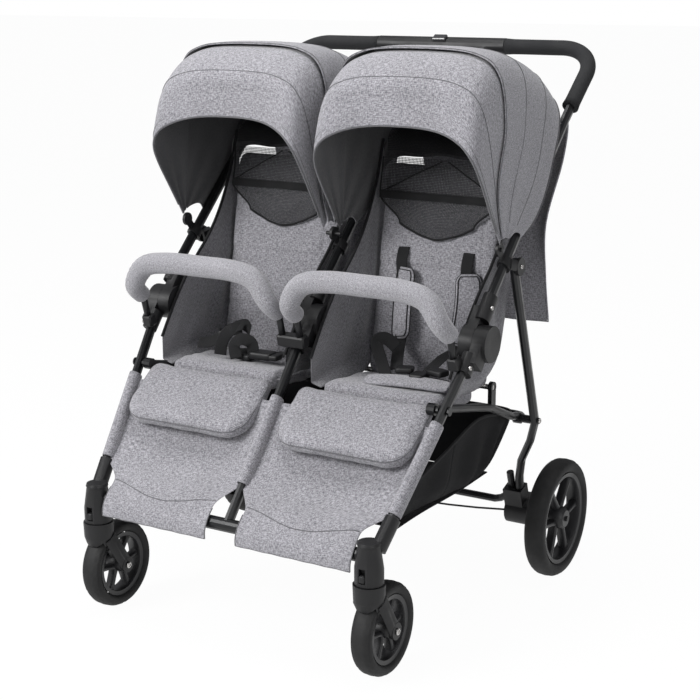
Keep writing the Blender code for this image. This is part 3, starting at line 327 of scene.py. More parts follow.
def cloth(name, light, dark, flecks=260.0, threads=900.0, contrast=0.8, crease=0.0025, turn=0.0, sheen=0.25):
    made, tree, shader = surface(name)
    place = cloth_place(tree)
    if turn:
        place = wire(tree, "ShaderNodeMapping", {0: place, "Rotation": (0, 0, math.radians(turn))}).outputs[0]
    weave = use(tree, WEAVE, {"Surface": place, "Light": (*light, 1), "Dark": (*dark, 1), "Threads": threads,
                              "Flecks": flecks, "Contrast": contrast})
    space = wire(tree, "ShaderNodeTexCoord").outputs["Object"]
    wide = wire(tree, "ShaderNodeTexNoise", {"Vector": space, "Scale": 16.0, "Detail": 3.0,
                                             "Distortion": 0.6}).outputs[0]
    shade = ranged(tree, wide, 0.3, 0.7, 0.93, 1.06)
    tint = wire(tree, "ShaderNodeVectorMath", {0: weave["Colour"], 1: shade}, operation="MULTIPLY")
    soft = bump(tree, wide, crease, 0.55)
    normal = bump(tree, weave["Height"], 0.0005, 0.6, soft)
    plug(tree, shader, {"Base Color": tint.outputs[0], "Normal": normal, "Roughness": 0.92,
                        "Specular IOR Level": 0.22, "Sheen Weight": sheen,
                        "Sheen Roughness": 0.6})
    return made


HEATHER = cloth("heather_cloth", (0.330, 0.324, 0.345), (0.080, 0.078, 0.090), flecks=580.0, contrast=1.25)
# Darker copy of the heather for the seat wings: painted shade, for wings that sit in shade between the
# cushion and the frame.
SHADED_HEATHER = cloth("heather_painted_shade", (0.235, 0.231, 0.247), (0.050, 0.049, 0.056), flecks=580.0, contrast=1.25)
# Near-black copy of the heather for the inner faces of the canopies and the sheet behind the net window:
# painted shade.
SHADE = cloth("canopy_painted_shade", (0.055, 0.054, 0.058), (0.012, 0.012, 0.014), flecks=580.0, contrast=1.25)
SLEEVE = cloth("bumper_cloth", (0.330, 0.325, 0.342), (0.090, 0.088, 0.100), flecks=900.0, threads=560.0,
               contrast=1.0, turn=45.0)
SEAM = cloth("seam_cloth", (0.120, 0.118, 0.126), (0.040, 0.040, 0.045), flecks=620.0, contrast=0.8)
NYLON = cloth("black_nylon", (0.0075, 0.0075, 0.0085), (0.003, 0.003, 0.0035), threads=1400.0, contrast=0.5,
              crease=0.004, sheen=0.02)


# %% Mesh and webbing
RIB_PITCH = 0.0018
YARN_PITCH = 0.0016


def webbing(name, colour):
    made, tree, shader = surface(name)
    axes = wire(tree, "ShaderNodeSeparateXYZ", {0: cloth_place(tree)})
    ribs, yarns = (math_node(tree, "SINE", times(tree, axes.outputs[axis], 2 * math.pi / pitch))
                   for axis, pitch in ((1, RIB_PITCH), (0, YARN_PITCH)))
    height = math_node(tree, "ADD", ribs, times(tree, yarns, 0.5))
    # The colour darkens towards the valleys between the ribs: painted shade in the grooves.
    dark = [value * 0.6 for value in colour]
    tint = blend_colour(tree, ranged(tree, height, -1.5, 1.5), (*dark, 1), (*colour, 1))
    plug(tree, shader, {"Base Color": tint, "Normal": bump(tree, height, 0.0004, 0.7), "Roughness": 0.72,
                        "Specular IOR Level": 0.3, "Sheen Weight": 0.03})
    return made


def net(name, colour, pitch, hole):
    """Knitted net: round holes in staggered rows, cut out by the alpha."""
    made, tree, shader = surface(name)
    axes = wire(tree, "ShaderNodeSeparateXYZ", {0: cloth_place(tree)})
    along, across = (math_node(tree, "COSINE", times(tree, axes.outputs[axis], math.pi / pitch))
                     for axis in (0, 1))
    cells = math_node(tree, "ABSOLUTE", times(tree, along, across))
    solid = ranged(tree, cells, hole + 0.1, hole - 0.1)
    plug(tree, shader, {"Alpha": solid, "Normal": bump(tree, solid, 0.0004, 0.6), "Roughness": 0.8,
                        "Base Color": (*colour, 1)})
    return made


STRAP = webbing("black_webbing_ribbed", (0.0075, 0.0075, 0.0085))
PIPING = webbing("dark_piping", (0.0070, 0.0070, 0.0080))
MESH = net("black_mesh", (0.020, 0.020, 0.022), 0.0030, 0.50)


# %% [markdown]
# ## Tubes, plastic, rubber, foam and steel
# The frame tubes are anodised in a dark graphite with a satin sheen, so a soft coat lies over a fine
# brushed noise. The castings are glass-filled nylon with a leathery grain. Rims are the same plastic but
# smoother, tyres are matt, and the grips are a closed-cell foam with tiny pores.

# %% Hard materials
ROUGH_SPREAD = 0.08


def hard(name, colour, roughness, metallic, cells, depth, dust, coat=0.0):
    made, tree, shader = surface(name)
    space = wire(tree, "ShaderNodeTexCoord").outputs["Object"]
    grain = use(tree, GRAIN, {"Surface": space, "Cells": cells})
    dusty = use(tree, DUST, {"Surface": space, "Amount": dust})
    pale = [value * 1.35 for value in colour]
    base = blend_colour(tree, ranged(tree, grain["Patches"], 0.3, 0.7), (*colour, 1), (*pale, 1))
    tint = blend_colour(tree, dusty["Mask"], base, (0.10, 0.098, 0.095, 1))
    rough = ranged(tree, grain["Patches"], 0.3, 0.7, roughness - ROUGH_SPREAD, roughness + ROUGH_SPREAD)
    worn = math_node(tree, "ADD", rough, times(tree, dusty["Mask"], 0.4))
    normal = bump(tree, grain["Height"], depth, 0.5)
    plug(tree, shader, {"Base Color": tint, "Roughness": worn, "Normal": normal, "Metallic": metallic,
                        "Specular IOR Level": 0.4, "Coat Weight": coat,
                        "Coat Roughness": 0.35})
    return made


TUBE = hard("graphite_satin", (0.0045, 0.0048, 0.0056), 0.36, 0.25, 1600.0, 0.00004, 0.03, 0.15)
PLASTIC = hard("moulded_black", (0.0036, 0.0036, 0.0042), 0.50, 0.0, 1100.0, 0.00016, 0.04)
GLOSS = hard("button_black", (0.020, 0.020, 0.022), 0.22, 0.0, 1600.0, 0.00003, 0.02, 0.5)
RIM = hard("rim_charcoal", (0.010, 0.010, 0.011), 0.42, 0.0, 1300.0, 0.00008, 0.10)
RUBBER = hard("tyre_rubber_matt", (0.0040, 0.0040, 0.0043), 0.70, 0.0, 700.0, 0.00022, 0.12)
FOAM = hard("foam_grip", (0.0085, 0.0088, 0.0098), 0.86, 0.0, 1500.0, 0.0005, 0.06)
STEEL = hard("bright_steel", (0.42, 0.41, 0.40), 0.28, 1.0, 1500.0, 0.00002, 0.03)
FINISHES = {
    "graphite_tube": TUBE, "black_plastic": PLASTIC, "rim_plastic": RIM, "tyre_rubber": RUBBER,
    "grip_foam": FOAM, "grey_fabric": HEATHER, "black_net": NYLON, "black_webbing": STRAP, "steel_rod": STEEL,
}
SLOTS = {material.name: slot for slot, material in FINISHES.items()}
SLOTS.update({material.name: "grey_fabric" for material in (SHADED_HEATHER, SHADE, SLEEVE)})
SLOTS.update({material.name: "black_webbing" for material in (SEAM, PIPING)})
SLOTS[MESH.name] = "black_net"
for entry in frame["record"]["subparts"]:
    solid = bpy.data.objects.get(entry["node"])
    if solid:
        for slot in solid.material_slots:
            slot.material = FINISHES[entry["material_slot"]]
bpy.data.objects["fold_button"].material_slots[0].material = GLOSS
print(len(bpy.data.materials), "materials")

# %% [markdown]
# ## Modelling helpers
# Most soft pieces are sheets or sweeps. Both start from one flat grid: a sheet sends each corner of the grid
# to a place in space, and a sweep rolls the grid round a path. The grid's own lengths become the map that
# the cloth's pattern follows.

# %% Finish a piece
def finish(name, bm, material, body, levels=0, wall=0.0, sharp=None, extra=()):
    """Object from a bmesh, riding on a body of the CAD model."""
    for face in bm.faces:
        face.smooth = True
    made = placed(name, bm)
    for each in (material, *extra):
        made.data.materials.append(each)
    if sharp:
        made.data.set_sharp_from_angle(angle=math.radians(sharp))
    if wall:
        shell = made.modifiers.new("wall", "SOLIDIFY")
        shell.thickness = wall
        shell.offset = 0
        shell.use_even_offset = True
        if extra:
            shell.material_offset = 1
            shell.material_offset_rim = 0
    if levels:
        rounder = made.modifiers.new("round", "SUBSURF")
        rounder.levels = levels
        rounder.render_levels = levels
    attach(made, body)
    return made


def mapped(bm):
    return bm.loops.layers.uv.get("cloth") or bm.loops.layers.uv.new("cloth")


def traced(place, count, first=0, last=None):
    """Points of place(share) at even steps, of which count make the whole way."""
    return [place(step / count) for step in range(first, (count if last is None else last) + 1)]


def grid(columns, rows, place):
    """Sheet whose corner at share (u, v) goes to place(u, v), with a map in metres."""
    bm = bmesh.new()
    bmesh.ops.create_grid(bm, x_segments=columns, y_segments=rows, size=0.5)
    layer = mapped(bm)
    across = running(traced(lambda u: place(u, 0.5), columns))
    along = running(traced(lambda v: place(0.5, v), rows))
    for face in bm.faces:
        for loop in face.loops:
            column = round((loop.vert.co.x + 0.5) * columns)
            row = round((loop.vert.co.y + 0.5) * rows)
            loop[layer].uv = (across[column], along[row])
    for vert in bm.verts:
        vert.co = place(vert.co.x + 0.5, vert.co.y + 0.5)
    return bm


def running(path):
    """Distance from the first point to each point of a path."""
    sums = [0.0]
    for before, after in zip(path, path[1:]):
        sums.append(sums[-1] + (Vector(after) - Vector(before)).length)
    return sums


def through(points, share):
    """Point on the smooth curve through the points, at a share of the way from 0 to 1."""
    spot = min(max(share, 0.0), 1.0) * (len(points) - 1)
    number = min(int(spot), len(points) - 2)
    t = spot - number
    a, b, c, d = (Vector(points[min(max(number + step, 0), len(points) - 1)]) for step in (-1, 0, 1, 2))
    return 0.5 * (2 * b + (c - a) * t + (2 * a - 5 * b + 4 * c - d) * t * t + (3 * b - a - 3 * c + d) * t**3)


def eased(value, low, high):
    share = min(max((value - low) / (high - low), 0.0), 1.0)
    return share * share * (3 - 2 * share)


def curve(points, steps):
    return traced(lambda share: through(points, share), steps)


def slope(angle):
    """Directions up a slope and square to it, for an angle in degrees."""
    c, s = math.cos(math.radians(angle)), math.sin(math.radians(angle))
    return Vector((0, c, s)), Vector((0, -s, c))


# %% Sweep along a path
def sweep(path, wide, thick=None, normal=None, sides=12, closed=False, square=2.0, caps=True):
    """Body swept along a path; wide and thick are half sizes, or functions of the share of the way."""
    path = [Vector(point) for point in path]
    count = len(path)
    frames = []
    carried = Vector(normal) if normal is not None else None
    for number, point in enumerate(path):
        before = path[number - 1] if number or closed else point
        after = path[(number + 1) % count] if number < count - 1 or closed else point
        tangent = (after - before).normalized()
        if carried is None:
            carried = tangent.orthogonal()
        reference = Vector(normal) if normal is not None else carried
        up = (reference - tangent * reference.dot(tangent)).normalized()
        carried = up
        frames.append((point, tangent.cross(up).normalized(), up))
    size_at = wide if callable(wide) else lambda share: wide
    deep_at = thick if callable(thick) else (lambda share: thick) if thick else size_at
    rows = count if closed else count - 1

    def place(u, v):
        number = round(v * rows)
        point, side, up = frames[number % count]
        share = number / rows
        angle = 2 * math.pi * u
        c, s = math.cos(angle), math.sin(angle)
        across = math.copysign(abs(c) ** (2 / square), c) * size_at(share)
        raised = math.copysign(abs(s) ** (2 / square), s) * deep_at(share)
        return point + side * across + up * raised

    bm = grid(sides, rows, place)
    bmesh.ops.remove_doubles(bm, verts=bm.verts, dist=0.000005)
    if caps and not closed:
        bmesh.ops.holes_fill(bm, edges=[edge for edge in bm.edges if edge.is_boundary])
    bmesh.ops.recalc_face_normals(bm, faces=bm.faces)
    return bm


def gather(*shapes):
    """One bmesh from several."""
    whole = bmesh.new()
    mapped(whole)
    for shape in shapes:
        mesh = bpy.data.meshes.new("part")
        shape.to_mesh(mesh)
        shape.free()
        whole.from_mesh(mesh)
        bpy.data.meshes.remove(mesh)
    return whole


def mirrored(bm):
    """The same shape on the other side of the stroller."""
    other = bm.copy()
    bmesh.ops.scale(other, vec=(-1, 1, 1), verts=other.verts)
    bmesh.ops.reverse_faces(other, faces=other.faces)
    return other


def both_sides(name, build, material, body, **options):
    """The piece as built for the right, and mirrored for the left; pairs of label and object."""
    made = []
    bm = build()
    for label, side in SIDES:
        shape = bm.copy() if side > 0 else mirrored(bm)
        made.append((label, finish(f"{name}_{label}", shape, material, body.format(label), **options)))
    bm.free()
    return made


# %% [markdown]
# ## Padded pieces
# A seat pad is foam in a sewn cover: it swells between its seams, and its sides draw in between the
# corners. A block with rounded corners is remeshed, blown up by the cloth simulation with a little pressure,
# and held to a few millimetres of swelling. Seams and channels are pressed in afterwards, because the
# remesh would wipe them out.

# %% Pad helper
SEAT_X = 0.1725
PRESSURE = 4.0
VOXEL = 0.005
LAST_FRAME = 20
SEAM_WIDTH = 0.0035
PAD_FRONT = 0.004


def bevelled(bm, edges, radius, steps):
    bmesh.ops.bevel(bm, geom=edges, offset=radius, segments=steps, affect="EDGES", profile=0.5, material=-1)


def rounded_block(size, corner, steps=6):
    """Flat block with rounded corners in its plane, and softened edges."""
    bm = bmesh.new()
    bmesh.ops.create_cube(bm, size=1)
    bmesh.ops.scale(bm, vec=size, verts=bm.verts)
    upright = [edge for edge in bm.edges if abs(edge.verts[0].co.z - edge.verts[1].co.z) > size[2] / 2]
    if isinstance(corner, tuple):
        front = [edge for edge in upright if edge.verts[0].co.y < 0]
        rear = [edge for edge in upright if edge.verts[0].co.y > 0]
        bevelled(bm, front, corner[0], steps)
        bevelled(bm, rear, corner[1], steps)
    else:
        bevelled(bm, upright, corner, steps)
    flat = [edge for edge in bm.edges if abs(edge.verts[0].co.z - edge.verts[1].co.z) < 1e-6
            and len(edge.link_faces) == 2 and edge.calc_face_angle() > 1.0]
    bevelled(bm, flat, size[2] * 0.32, 3)
    return bm


def apply_modifiers(holder):
    shape = holder.evaluated_get(bpy.context.evaluated_depsgraph_get())
    mesh = bpy.data.meshes.new_from_object(shape)
    holder.modifiers.clear()
    holder.data = mesh


def blown(bm, cap):
    """Swell a closed shape by a cloth simulation, each point by at most cap."""
    holder = placed("pad", bm)
    remesh = holder.modifiers.new("voxels", "REMESH")
    remesh.mode = "VOXEL"
    remesh.voxel_size = VOXEL
    apply_modifiers(holder)
    rest = [vert.co.copy() for vert in holder.data.vertices]
    soft = holder.modifiers.new("cloth", "CLOTH")
    soft.settings.use_pressure = True
    soft.settings.uniform_pressure_force = PRESSURE
    soft.settings.effector_weights.gravity = 0
    soft.settings.quality = 5
    scene = bpy.context.scene
    for number in range(1, LAST_FRAME + 1):
        scene.frame_set(number)
    shape = holder.evaluated_get(bpy.context.evaluated_depsgraph_get())
    swollen = [vert.co.copy() for vert in shape.data.vertices]
    holder.modifiers.clear()
    scene.frame_set(1)
    for vert, before, after in zip(holder.data.vertices, rest, swollen):
        move = after - before
        vert.co = before + move * min(1.0, cap / max(move.length, 1e-9))
    made = bmesh.new()
    made.from_mesh(holder.data)
    bpy.data.objects.remove(holder, do_unlink=True)
    return made


def crumpled(bm, depth, size, slant):
    """Shallow creases where the cover is slack: sharp valleys of a smooth noise."""
    bm.normal_update()
    for vert in bm.verts:
        x, y, z = vert.co
        spot = Vector((x + slant * y, (y - slant * x) * 0.45, z)) / size
        valley = (1 - min(1.0, abs(noise.noise(spot)) * 3.2)) ** 2
        vert.co -= vert.normal * depth * (valley + 0.5 * noise.noise(spot * 0.5))


def box_mapped(bm):
    """Map for the cloth's pattern, laid on from the side that each face looks to."""
    layer = mapped(bm)
    for face in bm.faces:
        facing = [abs(value) for value in face.normal]
        axis = facing.index(max(facing))
        first, second = [(1, 2), (0, 2), (0, 1)][axis]
        for loop in face.loops:
            loop[layer].uv = (loop.vert.co[first], loop.vert.co[second])


def cushion(size, corner, cap, depth, crease, slant, steps=6):
    """Swollen block with creases of one depth and size."""
    bm = blown(rounded_block(size, corner, steps), cap)
    box_mapped(bm)
    crumpled(bm, depth, crease, slant)
    return bm


def pressed(bm, axis, place, depth):
    """Press a straight seam into the front of a pad, at one place along an axis."""
    bm.normal_update()
    for vert in bm.verts:
        away = vert.co[axis] - place
        if vert.co.z > PAD_FRONT and abs(away) < 3 * SEAM_WIDTH:
            vert.co -= vert.normal * depth * math.exp(-(away / SEAM_WIDTH) ** 2)


# %% Seat backs
BACK_ANGLE = 80
BACK_SIZE = (0.262, 0.425, 0.026)
ROD = Vector((0, 0.034, 0.424))
BACK_UP, BACK_FRONT = slope(BACK_ANGLE)
BACK_PLACE = Matrix.Translation(ROD + BACK_UP * (BACK_SIZE[1] / 2 - 0.016) + Vector((SEAT_X, 0, 0)))
BACK_PLACE = BACK_PLACE @ Matrix.Rotation(math.radians(BACK_ANGLE), 4, "X")


def back_pad():
    size = (BACK_SIZE[0] - 0.008, BACK_SIZE[1] - 0.008, BACK_SIZE[2] - 0.005)
    bm = cushion(size, 0.024, 0.0035, 0.0016, 0.055, 1.0)
    for axis, place, depth in ((1, -0.100, 0.004), (1, 0.010, 0.004), (0, -0.098, 0.003), (0, 0.098, 0.003)):
        pressed(bm, axis, place, depth)
    bmesh.ops.transform(bm, matrix=BACK_PLACE, verts=bm.verts)
    return bm


for label, piece in both_sides("back_pad", back_pad, HEATHER, "back_{}", levels=1):
    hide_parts(f"seat_back_{label}")

# %% Seat pans
PAN_SIZE = (0.258, 0.169, 0.034)
PAN_PLACE = Matrix.Translation((SEAT_X, -0.0785, 0.4215)) @ Matrix.Rotation(math.atan2(-0.012, 0.169), 4, "X")


def pan_pad():
    size = (PAN_SIZE[0] - 0.008, PAN_SIZE[1] - 0.006, PAN_SIZE[2] - 0.006)
    bm = cushion(size, 0.020, 0.005, 0.0018, 0.05, -0.8)
    pressed(bm, 1, 0.050, 0.004)
    bmesh.ops.transform(bm, matrix=PAN_PLACE, verts=bm.verts)
    return bm


for label, piece in both_sides("pan_pad", pan_pad, HEATHER, "seat_base", levels=1):
    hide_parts(f"seat_pan_{label}")
    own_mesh(piece)

# %% Calf rests
CALF_X = 0.169
CALF_SLOPE = 35
CALF_SIZE = (0.266, 0.126, 0.030)
CALF_HINGE = Vector((CALF_X, -0.1735, 0.4360))
CALF_UP, CALF_RISE = slope(CALF_SLOPE)
CALF_PLACE = Matrix.Translation(CALF_HINGE - CALF_UP * (CALF_SIZE[1] / 2 + 0.003) + CALF_RISE * 0.002)
CALF_PLACE = CALF_PLACE @ Matrix.Rotation(math.radians(CALF_SLOPE), 4, "X")
CALF_CORNER = 0.050
CALF_GROWN = Vector((0.284, 0.139, 0.031))
CALF_MIDDLE = Vector((0, -(CALF_GROWN.y - CALF_SIZE[1]) / 2 - 0.004, 0.001))


def calf_pad():
    bm = cushion(CALF_GROWN, (CALF_CORNER, 0.018), 0.0045, 0.0016, 0.045, 0.7, 8)
    for vert in bm.verts:
        thin = eased(vert.co.y, CALF_GROWN.y / 2 - 0.045, CALF_GROWN.y / 2 - 0.015)
        if vert.co.z < 0:
            vert.co.z *= 1 - 0.65 * thin
    bmesh.ops.translate(bm, vec=CALF_MIDDLE, verts=bm.verts)
    bmesh.ops.transform(bm, matrix=CALF_PLACE, verts=bm.verts)
    return bm


calf_pads = both_sides("calf_pad", calf_pad, HEATHER, "calf_{}", levels=1)
for label, piece in calf_pads:
    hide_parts(f"calf_rest_{label}")


def calf_outline(shrink, lift):
    """Points round the front of a calf rest, from one rear corner to the other."""
    half_x, half_y = CALF_GROWN.x / 2 - shrink, CALF_GROWN.y / 2 - shrink
    points = [(-half_x, half_y - 0.02)]
    middle_y = -half_y + CALF_CORNER
    for middle_x, start in ((-half_x + CALF_CORNER, 180), (half_x - CALF_CORNER, 270)):
        for step in range(9):
            angle = math.radians(start + step * 90 / 8)
            c, s = math.cos(angle), math.sin(angle)
            points.append((middle_x + CALF_CORNER * c, middle_y + CALF_CORNER * s))
    points.append((half_x, half_y - 0.02))
    return [CALF_PLACE @ (CALF_MIDDLE + Vector((x, y, lift))) for x, y in points]


def calf_seam():
    """The outline, drawn in to the surface of the swollen pad."""
    pad = dict(calf_pads)["right"]
    on_pad = [pad.closest_point_on_mesh(point)[1] for point in calf_outline(-0.004, 0.0090)]
    return sweep(on_pad, 0.0010, sides=8)


both_sides("calf_piping", calf_seam, SEAM, "calf_{}")

# %% [markdown]
# ## Side wings
# On both sides of each seat a panel of cloth closes the gap between the cushion and the frame. Its upper
# edge is bound with dark piping and runs along the frame tube. It is one sheet: low at the front, high at
# the back, with a soft belly and two long folds where the cloth is slack.

# %% Wings
WING_X = 0.1440
WING_EDGE = ((-0.150, 0.4300, 0.483), (-0.110, 0.4300, 0.540), (-0.070, 0.4300, 0.588),
             (-0.030, 0.4260, 0.626), (0.004, 0.4260, 0.655), (0.036, 0.4430, 0.690), (0.066, 0.4870, 0.735),
             (0.092, 0.5370, 0.790), (0.108, 0.6200, 0.838), (0.116, 0.7000, 0.862))


def wing_point(u, v, edge):
    y, low, high = through(WING_EDGE, u)
    rise = low + (high - low) * v
    slack = math.sin(math.pi * v) * math.sin(math.pi * min(1.0, u * 1.02))
    folds = 0.0050 * math.sin(13 * u + 5 * v) + 0.0030 * math.sin(23 * u - 9 * v + 1)
    belly = 0.006 * slack
    leaning = 0.010 * eased(u, 0.55, 1.0) * (1 - v) + 0.022 * (1 - eased(v, 0.0, 0.13))
    return Vector((SEAT_X + edge * (WING_X + folds * slack - belly - leaning), y, rise))


def wing(edge):
    return grid(36, 22, lambda u, v: wing_point(u, v, edge))


def wing_piping(edge):
    return sweep(traced(lambda u: wing_point(u, 1.0, edge), 40), 0.0030, sides=8)


def lowered(piece):
    """Gives a wing piece its own copy of the mesh."""
    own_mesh(piece)


# The wings wear the darker copy of the heather, which is painted shade.
for edge, place_name in ((-1, "inner"), (1, "outer")):
    for _, piece in both_sides(f"wing_{place_name}", lambda: wing(edge), SHADED_HEATHER, "seat_base", wall=0.0024,
                               levels=1):
        lowered(piece)
    for _, piece in both_sides(f"wing_piping_{place_name}", lambda: wing_piping(edge), PIPING, "seat_base"):
        lowered(piece)

# %% [markdown]
# ## Canopies
# Each canopy is a dome of cloth on two bows. The front part folds back on its own pivot and carries a visor.
# The rear part stays with the frame, and a flap hangs from it behind the seat. Each part is one curved sheet
# through a few stations round the pivot; its inner face is a near-black copy of the cloth, painted shade for
# the inside of the dome.

# %% Canopy surfaces
PIVOT = Vector((0, -0.0211, 0.6951))
SECTION = ((-1, 0.05), (-1, 0.36), (-1, 0.62), (-0.975, 0.79), (-0.90, 0.895), (-0.75, 0.956), (-0.40, 0.992),
           (0.40, 0.992), (0.75, 0.956), (0.90, 0.895), (0.975, 0.79), (1, 0.62), (1, 0.36), (1, 0.05))
FRONT_STATIONS = ((110.2, 0.2317, 13.5), (106.5, 0.272, 8.5), (103.4, 0.3065, 4.0), (93.4, 0.3390, 1.0),
                  (84.0, 0.3450, 0))
REAR_STATIONS = ((91.5, 0.3492), (79.0, 0.3560), (66.0, 0.3640), (54.0, 0.3740), (43.4, 0.3830))
REAR_EDGE = (10, 18, 34, 39.5, 42, 43.4, 43.4)
FRONT_SPAN = (0.0160, 0.3496)
REAR_SPAN = (0.0094, 0.3544)
VISOR_SEAM = 0.52
CANOPY_WALL = 0.0025
FRONT_RIBS = ((0.0, 0.0021, 0.0), (0.10, 0.0005, 0.0014), (VISOR_SEAM, 0.0009, 0.0012),
              (0.94, 0.0006, 0.0014))
REAR_RIBS = ((0.02, 0.0008), (0.34, 0.0006), (0.68, 0.0006), (1.0, 0.0012))


def about_pivot(x, angle, radius):
    turn = math.radians(angle)
    return Vector((x, PIVOT.y + radius * math.cos(turn), PIVOT.z + radius * math.sin(turn)))


def on_span(span, across, lift):
    """x at a share of a canopy's half width, from -1 to 1."""
    middle, half = sum(span) / 2, (span[1] - span[0]) / 2
    return middle + across * (half + lift)


def canopy_front_point(u, v, lift=0.0):
    across, share, _ = through([(a, s, 0) for a, s in SECTION], u)
    angle, radius, lean = through(FRONT_STATIONS, v)
    lift -= 0.0012 * (1 + math.sin(15 * v + 4 * u)) * (1 - share) ** 1.5
    turn = angle + lean * abs(across) ** 2.5
    return about_pivot(on_span(FRONT_SPAN, across, lift), turn, (radius + lift) * share)


def rear_edge_at(u):
    spot = u * (len(SECTION) - 1)
    spot = min(spot, len(SECTION) - 1 - spot)
    return through([(value, 0, 0) for value in REAR_EDGE], spot / (len(REAR_EDGE) - 1)).x


def canopy_rear_point(u, v, lift=0.0):
    least = 0.06 + 0.11 * eased(v, 0.55, 0.92)
    across, share, _ = through([(a, max(s, least), 0) for a, s in SECTION], u)
    angle, radius, _ = through([(a, r, 0) for a, r in REAR_STATIONS], v)
    first, last = REAR_STATIONS[0][0], REAR_STATIONS[-1][0]
    edge = rear_edge_at(u)
    first_here = first + 20 * (1 - eased(share, 0.17, 0.62))
    turn = edge + (angle - last) / (first - last) * (first_here - edge)
    lift += 0.0016 * (1 + math.sin(24 * v + 5 * u)) * (1 - share) ** 1.5
    return about_pivot(on_span(REAR_SPAN, across, lift), turn, (radius + lift) * share)


def canopy_front_piping():
    return gather(*[sweep(traced(lambda u: canopy_front_point(u, v, lift), 90, 3, 87), radius, sides=8)
                    for v, radius, lift in FRONT_RIBS])


for label, piece in both_sides("canopy_front_cloth", lambda: grid(64, 26, canopy_front_point), HEATHER,
                               "canopy_hood_{}", wall=CANOPY_WALL, levels=1, extra=(SHADE,)):
    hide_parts(f"canopy_front_{label}")
both_sides("canopy_front_piping", canopy_front_piping, SEAM, "canopy_hood_{}")

# %% Rear canopy and flap
FLAP_ROWS = ((0.272, 0.895, 0.162), (0.276, 0.82, 0.152), (0.263, 0.70, 0.126), (0.244, 0.60, 0.136),
             (0.232, 0.512, 0.150))
FLAP_BULGE = 0.038


def flap_point(u, v):
    """Flap behind the seat: u across, v from the dome's rear edge down to the hem."""
    across = 2 * u - 1
    top = canopy_rear_point(0.5 + across * 0.262, 1.0, -0.001)
    rows = [(top.y, top.z, 0.165)] + list(FLAP_ROWS)
    y, z, reach = through(rows, v)
    x = SEAT_X + 0.008 + across * reach
    full = eased(v, 0.10, 0.38) * (1 - eased(v, 0.50, 0.85))
    bulge = FLAP_BULGE * (1 - abs(across) ** 6) * full
    wave = 0.005 * math.sin(across * 7 + 1) * v
    join = eased(v, 0.0, 0.12)
    return Vector((top.x + (x - top.x) * join, y + bulge + wave, z))


def gathered(piece):
    """Gives a flap piece its own copy of the mesh."""
    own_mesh(piece)


def rear_piping():
    return gather(*[sweep(traced(lambda u: canopy_rear_point(u, v, 0.0014), 80, 2, 78), radius, sides=6)
                    for v, radius in REAR_RIBS])


def flap_hem():
    edge = traced(lambda v: flap_point(0.0, v), 30, 2)
    edge += traced(lambda u: flap_point(u, 1.0), 24, 1)
    edge += traced(lambda v: flap_point(1.0, 1 - v), 30, 1, 28)
    return sweep(edge, 0.0018, sides=6)


for label, piece in both_sides("canopy_rear_cloth", lambda: grid(56, 22, canopy_rear_point), HEATHER,
                               "upper_frame", wall=CANOPY_WALL, levels=1, extra=(SHADE,)):
    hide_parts(f"canopy_rear_{label}")
for _, piece in both_sides("canopy_flap", lambda: grid(24, 30, flap_point), HEATHER, "upper_frame",
                           wall=0.0022, levels=1):
    gathered(piece)
both_sides("canopy_rear_piping", rear_piping, SEAM, "upper_frame")
for _, piece in both_sides("flap_hem", flap_hem, HEATHER, "upper_frame"):
    gathered(piece)

# %% [markdown]
# ## Net window and pocket
# A black knitted net closes the gap between the seat back and the canopy. Behind it is a sheet of near-black
# cloth, painted shade that darkens the view through the net. A second net is a pocket on the seat back, with
# a webbing band along its top. Their holes are cut by the alpha of the material, so light and background show
# through.

# %% Net pocket and window
POCKET_BAND = 0.42


def pocket_point(u, v):
    """Net on the seat back: u across, v from the pointed lower edge up to the top of the back."""
    across = 2 * u - 1
    half = 0.078 + 0.046 * eased(v, 0.0, POCKET_BAND) + 0.004 * v
    droop = -0.026 * (1 - abs(across) ** 1.6) * (1 - eased(v, 0.0, POCKET_BAND))
    up = 0.288 + droop + 0.124 * v
    puff = 0.0195 + 0.012 * math.sin(math.pi * u) * math.sin(math.pi * min(1.0, v / POCKET_BAND)) ** 2
    puff += 0.0016 * math.sin(13 * u + 5 * v) + 0.0012 * math.sin(29 * u - 8 * v)
    return ROD + BACK_UP * up + BACK_FRONT * puff + Vector((SEAT_X + across * half, 0, 0))


def window_point(u, v):
    y, z, half = through(((0.094, 0.842, 0.128), (0.118, 0.872, 0.138), (0.160, 0.902, 0.134),
                          (0.206, 0.929, 0.120)), v)
    sag = -0.008 * math.sin(math.pi * u) * math.sin(math.pi * v) + 0.002 * math.sin(17 * u + 6 * v)
    return Vector((SEAT_X + 0.006 + (2 * u - 1) * half, y, z + sag))


def liner_point(u, v):
    """Sheet of painted shade just behind the net, a little wider than it."""
    spot = window_point(u, v)
    wider = 0.012 * (1 - eased(v, 0.3, 1.0))
    return spot + Vector(((2 * u - 1) * wider, 0.004, -0.006 - 0.030 * (2 * abs(u - 0.5)) ** 6 * (1 - v)))


def tucked(piece, label):
    """Gives a piece its own copy of the mesh."""
    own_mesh(piece)


def pocket_edges():
    bottom = sweep(traced(lambda u: pocket_point(u, 0.0), 30), 0.0022, sides=6)
    sides = [sweep(traced(lambda v: pocket_point(side, v), 20), 0.0018, sides=6) for side in (0.0, 1.0)]
    band = sweep(traced(lambda u: pocket_point(u, POCKET_BAND) + BACK_FRONT * 0.001, 30), 0.0075, 0.0012,
                 normal=BACK_FRONT, sides=10, square=4.0)
    gathers = [sweep([pocket_point(low + (high - low) * step / 20, POCKET_BAND + 0.05 + 0.5 * step / 20)
                      for step in range(21)], 0.0014, sides=6) for low, high in ((0.02, 0.5), (0.98, 0.55))]
    return gather(bottom, *sides, band, *gathers)


